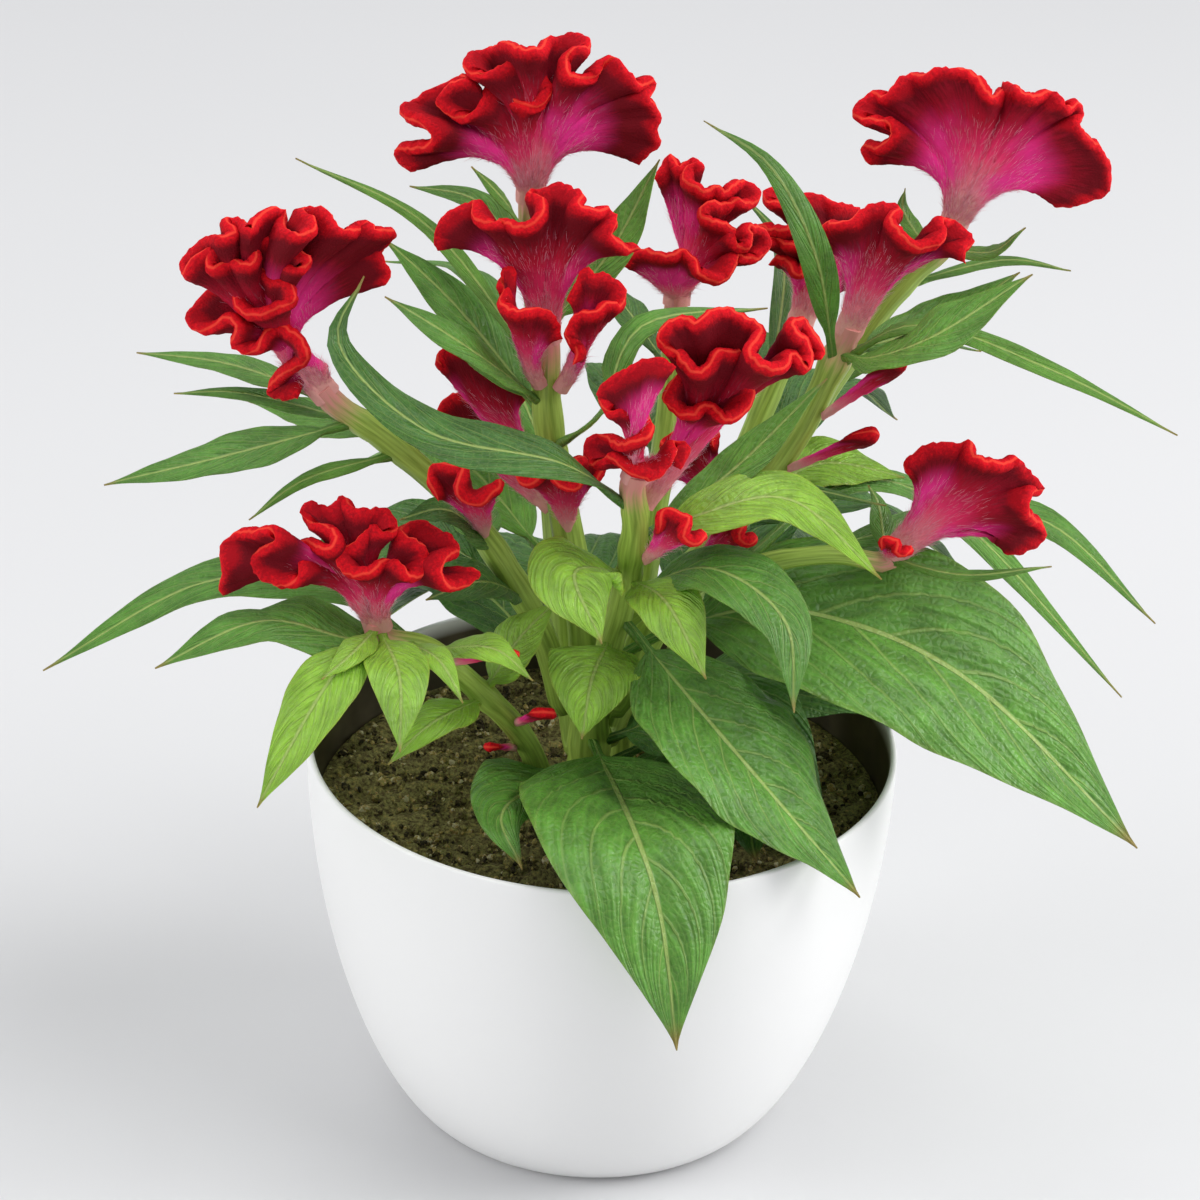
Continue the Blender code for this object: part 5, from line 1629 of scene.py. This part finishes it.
    def thickness(self, side: Array, rise: Array) -> Array:
        """Finds the sheet's thickness below the lip's rounding.

        Args:
            side: The place along the crest, from -1 to 1.
            rise: The place from the neck to the crest.

        Returns:
            The thickness in metres, which is thin at the fan's sides.
        """
        neck, crest = self.comb.thick
        thick = neck + (self.lip_swell * crest - neck) * smoothstep(0.2, 0.95, rise)
        waist = 1 - 0.30 * smoothstep(0.10, 0.35, rise) * (1 - smoothstep(0.60, 0.92, rise))
        width = np.maximum(self.comb.neck, self.comb.reach * rise * math.radians(self.comb.spread))
        off_side = (1 - np.abs(side)) * width
        round_side = np.sqrt(1 - np.clip(1 - off_side / (0.6 * crest), 0.0, 0.98) ** 2)
        return thick * waist * round_side * MM

    def fluff(self, made: bpy.types.Object) -> None:
        """Raises the velvet's small bumps, and notes how deep each place lies in a fold and how far
        it faces up, for the finish's painted fold shade and painted top light.
        """
        places = places_of(made)
        bumps = ripple_noise(places, 2.6 * MM, 7, 2) * self.nap * MM
        note(made, "painted_fold_shade", hollowness(made, 14))
        note(made, "painted_top_light", smoothstep(-0.15, 0.75, normals_of(made)[:, 2]))
        move_places(made, places + normals_of(made) * bumps[:, None])

    def bristles(self, made: bpy.types.Object, silk: bpy.types.Material) -> list[bpy.types.Object]:
        """Sets silky bristles on the fan's faces and along its two sides.

        Args:
            made: The velvet sheet they grow on.
            silk: Their finish.

        Returns:
            The bristles as one object, or nothing for a small comb.
        """
        if self.comb.folds < 1:
            return []
        random = np.random.default_rng(len(self.name) * 31 + int(self.comb.reach * 7))
        places, normals = places_of(made), normals_of(made)
        rise, flank = values_of(made, "rise"), values_of(made, "flank")
        for_each_mm, for_any = self.bristle_counts
        count = int(for_each_mm * self.comb.reach * math.radians(self.comb.spread) + for_any)
        lowest, highest = self.bristled
        on_fan = np.flatnonzero((rise > lowest) & (rise < highest))
        weight = (0.30 + 6.0 * (flank > 0.93) + 1.2 * (rise < 0.25))[on_fan]
        chosen = random.choice(on_fan, min(count, len(on_fan)), False, weight / weight.sum())
        away = unit(places[chosen] - self.seat() + self.frame()[2] * 4 * MM)
        normal = normals[chosen]
        up_fan = unit(away - normal * np.einsum("ij,ij->i", away, normal)[:, None])
        over = np.cross(normal, up_fan)
        shift = up_fan * random.uniform(-1.2, 1.2, (len(chosen), 1))
        shift = shift + over * random.uniform(-0.5, 0.5, (len(chosen), 1))
        lean = unit(up_fan + normal * random.uniform(0.15, 0.5, (len(chosen), 1)))
        lean = unit(lean + random.normal(0, 0.12, lean.shape))
        length = random.uniform(*self.bristle_lengths, len(chosen)) * MM
        roots = places[chosen] + shift * MM - lean * 0.4 * MM
        return [self.tufts(roots, lean, length, silk)]

    def tufts(
        self, places: Array, ways: Array, lengths: Array, silk: bpy.types.Material
    ) -> bpy.types.Object:
        """Copies one modelled bristle to many places.

        Args:
            places: Where each bristle starts.
            ways: Where each points.
            lengths: How long each is, in metres.
            silk: Their finish.

        Returns:
            All bristles as one object.
        """
        deselect()
        bpy.ops.mesh.primitive_cone_add(
            vertices=3, radius1=1.0, radius2=0.0, depth=1.0, location=(0, 0, 0.5)
        )
        pattern = bpy.context.active_object
        bpy.ops.object.transform_apply(location=True, rotation=False, scale=False)
        helper = np.where(np.abs(ways[:, 2:]) < 0.9, [[0.0, 0.0, 1.0]], [[1.0, 0.0, 0.0]])
        first = unit(np.cross(ways, helper))
        second = np.cross(ways, first)
        radius = self.bristle * MM
        frames = np.stack([first * radius, second * radius, ways * lengths[:, None]], axis=2)
        heights = places_of(pattern)[:, 2]
        made = copies("bristles_" + self.name, pattern, frames, places)
        note(made, "along", np.tile(heights, len(places)))
        dress(made, silk)
        return made


@dataclass
class LeafyStem:
    """A ribbed stem with all the leaves that grow on it.

    Attributes:
        name: The stem's name.
        stem: Its centre line and leaves.
        skeleton: The stems.
        sides: The number of faces round it.
        ribs: The number of ribs round it.
    """

    name: str
    stem: Stem
    skeleton: Skeleton
    sides: int = 24
    ribs: int = 6

    def build(self, rind: bpy.types.Material, skin: bpy.types.Material) -> bpy.types.Object:
        """Builds the stem and its leaves.

        Args:
            rind: The finish of the stem.
            skin: The finish of the leaves.

        Returns:
            The leafy stem.
        """
        blades = [
            LeafBlade(f"{self.name}_{index}", leaf, self.stem, self.skeleton, self.name).build(skin)
            for index, leaf in enumerate(self.stem.leaves)
        ]
        return joined("greens_" + self.name, [self.tube(rind), *blades])

    def tube(self, rind: bpy.types.Material) -> bpy.types.Object:
        """Rolls a sheet round the stem's centre line.

        Args:
            rind: The finish of the stem.

        Returns:
            The bare stem.
        """
        line = self.skeleton.lines[self.name]
        start, end = self.skeleton.radii[self.name]
        length = float(np.linalg.norm(np.diff(line, axis=0), axis=1).sum())
        rows = max(12, round(length / (2.2 * MM)))
        centre = smooth_path(list(line), np.linspace(0.0, 1.0, rows + 1))
        tangents = unit(np.gradient(centre, axis=0))
        first = np.empty_like(tangents)
        way = np.array([1.0, 0.0, 0.0])
        for row, tangent in enumerate(tangents):
            way = unit(way - tangent * np.dot(way, tangent))
            first[row] = way
        second = np.cross(tangents, first)

        made, across, along = sheet("tube_" + self.name, self.sides, rows)
        row = np.round(along * rows).astype(int)
        turn = across * math.tau
        radius = start + (end - start) * along
        for leaf in self.stem.leaves:
            joint = self.skeleton.at(self.name, leaf.height * MM)[0]
            near = np.exp(-(np.linalg.norm(centre - joint, axis=1) / (2.6 * MM)) ** 2)
            radius = radius * (1 + 0.09 * near[row])
        rib = 1 + 0.045 * np.cos(self.ribs * turn + 3 * along)
        ring = np.cos(turn)[:, None] * first[row] + np.sin(turn)[:, None] * second[row]
        move_places(made, centre[row] + ring * (radius * rib)[:, None])
        lay_uv(made, "sheet", across, along * length / (50 * MM))
        to_end = (1 - along) * length
        note(made, "blush", np.clip(1 - to_end / (20 * MM), -0.6, 1.0))
        close_tube(made)
        return finished(made, 60, rind)


@dataclass
class LeafBlade:
    """One leaf: a channelled stalk and a thin, arched blade that is quilted between its veins.

    Attributes:
        name: The leaf's name.
        leaf: Its midrib and width.
        stem: The stem's table, for the leaf's age.
        skeleton: The stems.
        on: The name of the stem it grows on.
        thickness: The blade's thickness in mm.
        stalk: Half the width of the stalk in mm.
        tip: Half the width of the blade's tip in mm.
        quilt: The height of the pillows between the veins, as a share of half the width.
        side_veins: The number of side veins on each half.
        grids: The width in mm past which a blade has so many faces across and along.
    """

    name: str
    leaf: Leaf
    stem: Stem
    skeleton: Skeleton
    on: str
    thickness: float = 0.5
    stalk: float = 1.1
    tip: float = 0.12
    quilt: float = 0.075
    side_veins: float = 9.0
    grids: tuple[tuple[int, int, int], ...] = ((20, 22, 54), (9, 12, 34), (0, 8, 24))

    def build(self, skin: bpy.types.Material) -> bpy.types.Object:
        """Builds the leaf.

        Args:
            skin: The finish.

        Returns:
            The leaf.
        """
        leaf = self.leaf
        columns, rows = next(grid for width, *grid in self.grids if leaf.width > width)
        made, across01, along = sheet("leaf_" + self.name, columns, rows)
        root = self.skeleton.at(self.on, leaf.height * MM)[0]
        row = np.round(along * rows).astype(int)
        shares = np.linspace(0.0, 1.0, rows + 1) ** 1.08
        midrib = smooth_path([root, *(np.array(place) * MM for place in leaf.path)], shares)
        ways = unit(np.gradient(midrib, axis=0))
        sides = unit(np.cross(ways, unit(np.array(leaf.face, float))))
        ups = np.cross(sides, ways)

        blade = np.maximum(0.0, (shares - leaf.petiole) / (1 - leaf.petiole))
        # The outline is egg-shaped, and the first number brings its greatest width to 1.
        outline = 3.84 * blade**0.75 * (1 - blade) ** 1.3
        stalk = self.stalk * (1 - smoothstep(0.75, 1.0, shares))
        half = np.maximum(np.maximum(leaf.width / 2 * outline, stalk), self.tip)[row]
        across = 2 * across01 - 1
        share = shares[row]
        if leaf.torn_at:
            tear = np.clip(1 - np.abs(share - leaf.torn_at) / 0.12, 0.0, None)
            half = np.where(across > 0, half * (1 - 0.5 * tear), half)
        width = half * MM
        random = np.random.default_rng(sum(map(ord, self.name)))
        ripple = leaf.wave * np.sin(2.4 * math.tau * share + across) * across**2
        fine_turn = 6.3 * math.tau * share + 2.0 * across + random.uniform(0, 6)
        fine = 0.35 * leaf.wave * np.sin(fine_turn)
        fine = fine * np.abs(across) ** 3
        rise = leaf.fold * np.abs(across) - 0.5 * leaf.fold * across**2 + ripple + fine
        rise = rise + self.quilt * self.pillows(across, share)
        places = midrib[row] + sides[row] * (width * across)[:, None]
        move_places(made, places + ups[row] * (width * rise)[:, None])
        note(made, "half_mm", half)
        tint = (leaf.tint or self.stem.tint).value
        note(made, "youth", float(np.clip(tint + random.uniform(-0.08, 0.08), 0.0, 1.0)))
        lay_uv(made, "sheet", across01, share)
        keel = 0.7 * np.exp(-((across * half / 0.9) ** 2)) * (1 - 0.6 * share)
        stalky = 1.1 * (1 - smoothstep(leaf.petiole * 0.6, leaf.petiole * 1.3, share))
        thick = self.thickness * (1 - 0.45 * across**4) + keel + stalky
        thicken(made, thick * (1 - 0.5 * share**6) * MM)
        return finished(made, 75, skin)

    def pillows(self, across: Array, share: Array) -> Array:
        """Finds how high the blade swells between two side veins, from 0 to 1.

        Args:
            across: The place across the blade, from -1 to 1.
            share: The place along the leaf, from 0 to 1.

        Returns:
            The height at each place.
        """
        off = np.abs(across)
        vein = (share - 0.20 * off - 0.12 * off**2) * self.side_veins + 0.5 * (across > 0)
        swell = np.abs(np.cos(math.pi * vein)) ** 0.6
        return swell * np.clip(off / 0.2, 0.0, 1.0) * (1 - off**4)


@dataclass
class CoverPot:
    """A thin moulded cover pot with a rounded rim.

    Attributes:
        rim: The radius of the rim in mm.
        base: The radius of the base in mm.
        height: The height in mm.
        wall: The thickness of the wall in mm.
        floor: The thickness of the floor in mm.
        foot: The height of the foot's rounding in mm.
        belly: How fast the wall leaves the base, as a power.
        brow: How fast it comes upright below the rim, as a power.
        sides: The number of faces round it.
    """

    rim: float = 75.0
    base: float = 45.5
    height: float = 104.0
    wall: float = 1.6
    floor: float = 3.0
    foot: float = 1.2
    belly: float = 1.43
    brow: float = 1.93
    sides: int = 192

    def radius(self, height: Array) -> Array:
        """Returns the outer radius at a height, in mm."""
        share = (1 - (1 - height / self.height) ** self.brow) ** (1 / self.belly)
        return self.base + (self.rim - self.base) * share

    def build(self, plastic: bpy.types.Material) -> bpy.types.Object:
        """Builds the pot.

        Args:
            plastic: The finish.

        Returns:
            The pot.
        """
        top = self.height - self.wall / 2
        steps = np.linspace(0.0, 1.0, 36) ** 1.4
        outer = self.foot + (top - self.foot) * steps
        inner = self.floor + (top - self.floor) * steps
        turns = np.linspace(0.0, math.pi, 9)[1:-1]
        lip_middle = self.rim - self.wall / 2
        base = self.base
        profile = [(0.0, 0.0), (base * 0.5, 0.0), (base - 0.9, 0.0), (base - 0.2, 0.25)]
        profile += list(zip(self.radius(outer), outer))
        profile += [
            (lip_middle + self.wall / 2 * math.cos(turn), top + self.wall / 2 * math.sin(turn))
            for turn in turns
        ]
        outside = len(profile) + 1
        profile += list(zip(self.radius(inner[::-1]) - self.wall, inner[::-1]))
        profile += [(base * 0.6, self.floor), (0.0, self.floor)]
        # The inside rows take the inner wall's colour of soil stains and painted shade.
        inside = [0.0] * outside + [1.0] * (len(profile) - outside)
        made, row = rolled("cover_pot", np.array(profile), self.sides)
        note(made, "inside", np.array(inside)[row])
        close_tube(made)
        return finished(made, 40, plastic)


@dataclass
class PottingSoil:
    """The potting mix that fills the pot, with loose crumbs on top.

    Attributes:
        pot: The pot it fills.
        level: The height of its top in mm.
        gap: How far it stays off the wall, in mm.
        crumbs: The number of loose crumbs.
        sides: The number of faces round it.
        rings: The number of rings of faces on the top.
    """

    pot: CoverPot
    level: float = 85.0
    gap: float = 0.3
    crumbs: int = 5600
    sides: int = 180
    rings: int = 52

    def build(self, mix: bpy.types.Material) -> bpy.types.Object:
        """Builds the soil.

        Args:
            mix: The finish.

        Returns:
            The soil.
        """
        edge = float(self.pot.radius(np.array(self.level))) - self.pot.wall - self.gap
        top = [(edge * ring / self.rings, self.level) for ring in range(self.rings + 1)]
        heights = np.linspace(self.level, self.pot.floor + self.gap, 10)[1:]
        side = list(zip(self.pot.radius(heights) - self.pot.wall - self.gap, heights))
        profile = np.array(top + side + [(0.0, self.pot.floor + self.gap)])
        made, row = rolled("potting_soil", profile, self.sides)
        note(made, "grain", 0.40)
        places = places_of(made)
        lumps = 1.3 * ripple_noise(places, 11 * MM, 3, 3)
        lumps = lumps + 0.45 * ripple_noise(places, 2.4 * MM, 5, 2)
        on_top = (row < self.rings) & (row > 0)
        places[:, 2] += np.where(on_top, lumps, 0.0) * MM
        move_places(made, places)
        close_tube(made)
        return joined("potting_soil", [finished(made, 50, mix), self.loose(edge, mix)])

    def loose(self, edge: float, mix: bpy.types.Material) -> bpy.types.Object:
        """Scatters crumbs on the top.

        Args:
            edge: The radius of the top in mm.
            mix: The finish.

        Returns:
            All crumbs as one object.
        """
        random = np.random.default_rng(11)
        deselect()
        bpy.ops.mesh.primitive_ico_sphere_add(subdivisions=1, radius=1.0)
        pattern = bpy.context.active_object
        shape = places_of(pattern)
        move_places(pattern, shape * random.uniform(0.7, 1.15, (len(shape), 1)))
        away = (edge - 1.5) * np.sqrt(random.uniform(0.0, 1.0, self.crumbs))
        turn = random.uniform(0.0, math.tau, self.crumbs)
        size = np.minimum(random.gamma(3.0, 0.15, self.crumbs) + 0.24, 1.9)
        height = self.level + 0.4 * size
        places = np.stack([away * np.cos(turn), away * np.sin(turn), height], axis=1)
        frames = np.linalg.qr(random.normal(size=(self.crumbs, 3, 3)))[0]
        stretch = random.uniform(0.6, 1.35, (self.crumbs, 1, 3)) * size[:, None, None]
        made = copies("crumbs", pattern, frames * stretch * MM, places * MM)
        note(made, "grain", np.repeat(random.beta(0.8, 1.0, self.crumbs), len(shape)))
        face_outwards(made)
        return finished(made, 35, mix)


@dataclass
class Studio:
    """The pale table, the soft lights and the camera.

    Attributes:
        target: The place that the camera looks at.
        distance: How far the camera is from it, in metres.
        elevation: How far the camera looks down, in degrees.
        roll: How far the picture's content is turned clockwise, in degrees.
        sensor: The width of the camera's sensor in mm.
        lens: Its focal length in mm.
        lit: The height of the place that the lights face, in metres.
        lights: The place and the width in metres and the power in watts of each soft box.
        air: The colour of the light from all round.
        air_strength: Its strength.
    """

    target: Point = (-0.0018, 0.0, 0.1432)
    distance: float = 0.900
    elevation: float = 27.5
    roll: float = 2.0
    sensor: float = 36.0
    lens: float = 108.18
    lit: float = 0.14
    lights: tuple[tuple[str, Point, float, float], ...] = (
        ("key", (0.95, -0.40, 1.8), 1.3, 18.0),
        ("right", (2.1, 0.15, 0.70), 1.0, 22.0),
        ("left", (-2.1, -0.45, 0.70), 1.0, 15.0),
        ("fill", (-1.2, -1.3, 1.6), 1.4, 6.0),
        ("top", (-0.3, 0.8, 2.0), 1.8, 13.0),
    )
    air: str = "#F2F4F7"
    air_strength: float = 0.42

    def build(self, paper: bpy.types.Material) -> None:
        """Sets up the table, the lights and the camera.

        Args:
            paper: The finish of the table.
        """
        self.lay_paper(paper)
        for light in self.lights:
            self.set_light(*light)
        world = bpy.data.worlds.new("studio_air")
        world.use_nodes = True
        air = world.node_tree.nodes["Background"]
        air.inputs["Color"].default_value = linear(self.air)
        air.inputs["Strength"].default_value = self.air_strength
        bpy.context.scene.world = world
        bpy.context.scene.view_settings.view_transform = "Standard"
        self.set_camera()

    def lay_paper(self, paper: bpy.types.Material) -> None:
        """Lays the paper on the table."""
        deselect()
        bpy.ops.mesh.primitive_plane_add(size=8.0, location=(0.0, 0.0, 0.0))
        sheet_on_table = bpy.context.active_object
        sheet_on_table.name = "studio_floor"
        dress(sheet_on_table, paper)

    def set_light(self, name: str, place: Point, size: float, power: float) -> None:
        """Adds one soft box that faces the plant.

        Args:
            name: Its name.
            place: Where it stands.
            size: Its width in metres.
            power: Its power in watts.
        """
        light = bpy.data.lights.new(name, "AREA")
        light.shape = "DISK"
        light.size = size
        light.energy = power
        lamp = bpy.data.objects.new(name, light)
        lamp.location = place
        way = Vector(place) - Vector((0.0, 0.0, self.lit))
        lamp.rotation_euler = way.to_track_quat("Z", "Y").to_euler()
        bpy.context.scene.collection.objects.link(lamp)

    def set_camera(self) -> None:
        """Adds the camera."""
        tilt, roll = math.radians(self.elevation), math.radians(self.roll)
        back = Vector((0.0, -math.cos(tilt), math.sin(tilt)))
        right = Vector((1.0, 0.0, 0.0))
        up = back.cross(right)
        turned_right = right * math.cos(roll) + up * math.sin(roll)
        turned_up = up * math.cos(roll) - right * math.sin(roll)
        lens = bpy.data.cameras.new("camera")
        lens.lens = self.lens
        lens.sensor_width = self.sensor
        camera = bpy.data.objects.new("camera", lens)
        place = Vector(self.target) + back * self.distance
        matrix = Matrix((turned_right, turned_up, back)).transposed().to_4x4()
        camera.matrix_world = Matrix.Translation(place) @ matrix
        bpy.context.scene.collection.objects.link(camera)
        bpy.context.scene.camera = camera


def main() -> None:
    """Builds the plant, its pot and the studio."""
    logging.basicConfig(level=logging.INFO, format="%(name)s: %(message)s")
    Studio().build(StudioPaper().material())
    pot = CoverPot()
    hand_over(pot.build(PotPlastic().material()), "pot")
    hand_over(PottingSoil(pot).build(PottingMix().material()), "soil")
    skeleton = Skeleton(STEMS)
    rind, skin = StemSkin().material(), LeafSkin().material()
    for name, stem in STEMS.items():
        hand_over(LeafyStem(name, stem, skeleton).build(rind, skin), "leafy_stem_" + name)
    velvet, silk = CombVelvet().material(), SilkBristle().material()
    for name, comb in COMBS.items():
        made = VelvetComb(name, comb, skeleton, crest=CRESTS.get(name, ()))
        hand_over(made.build(velvet, silk), "comb_" + name)


if __name__ == "__main__":
    main()
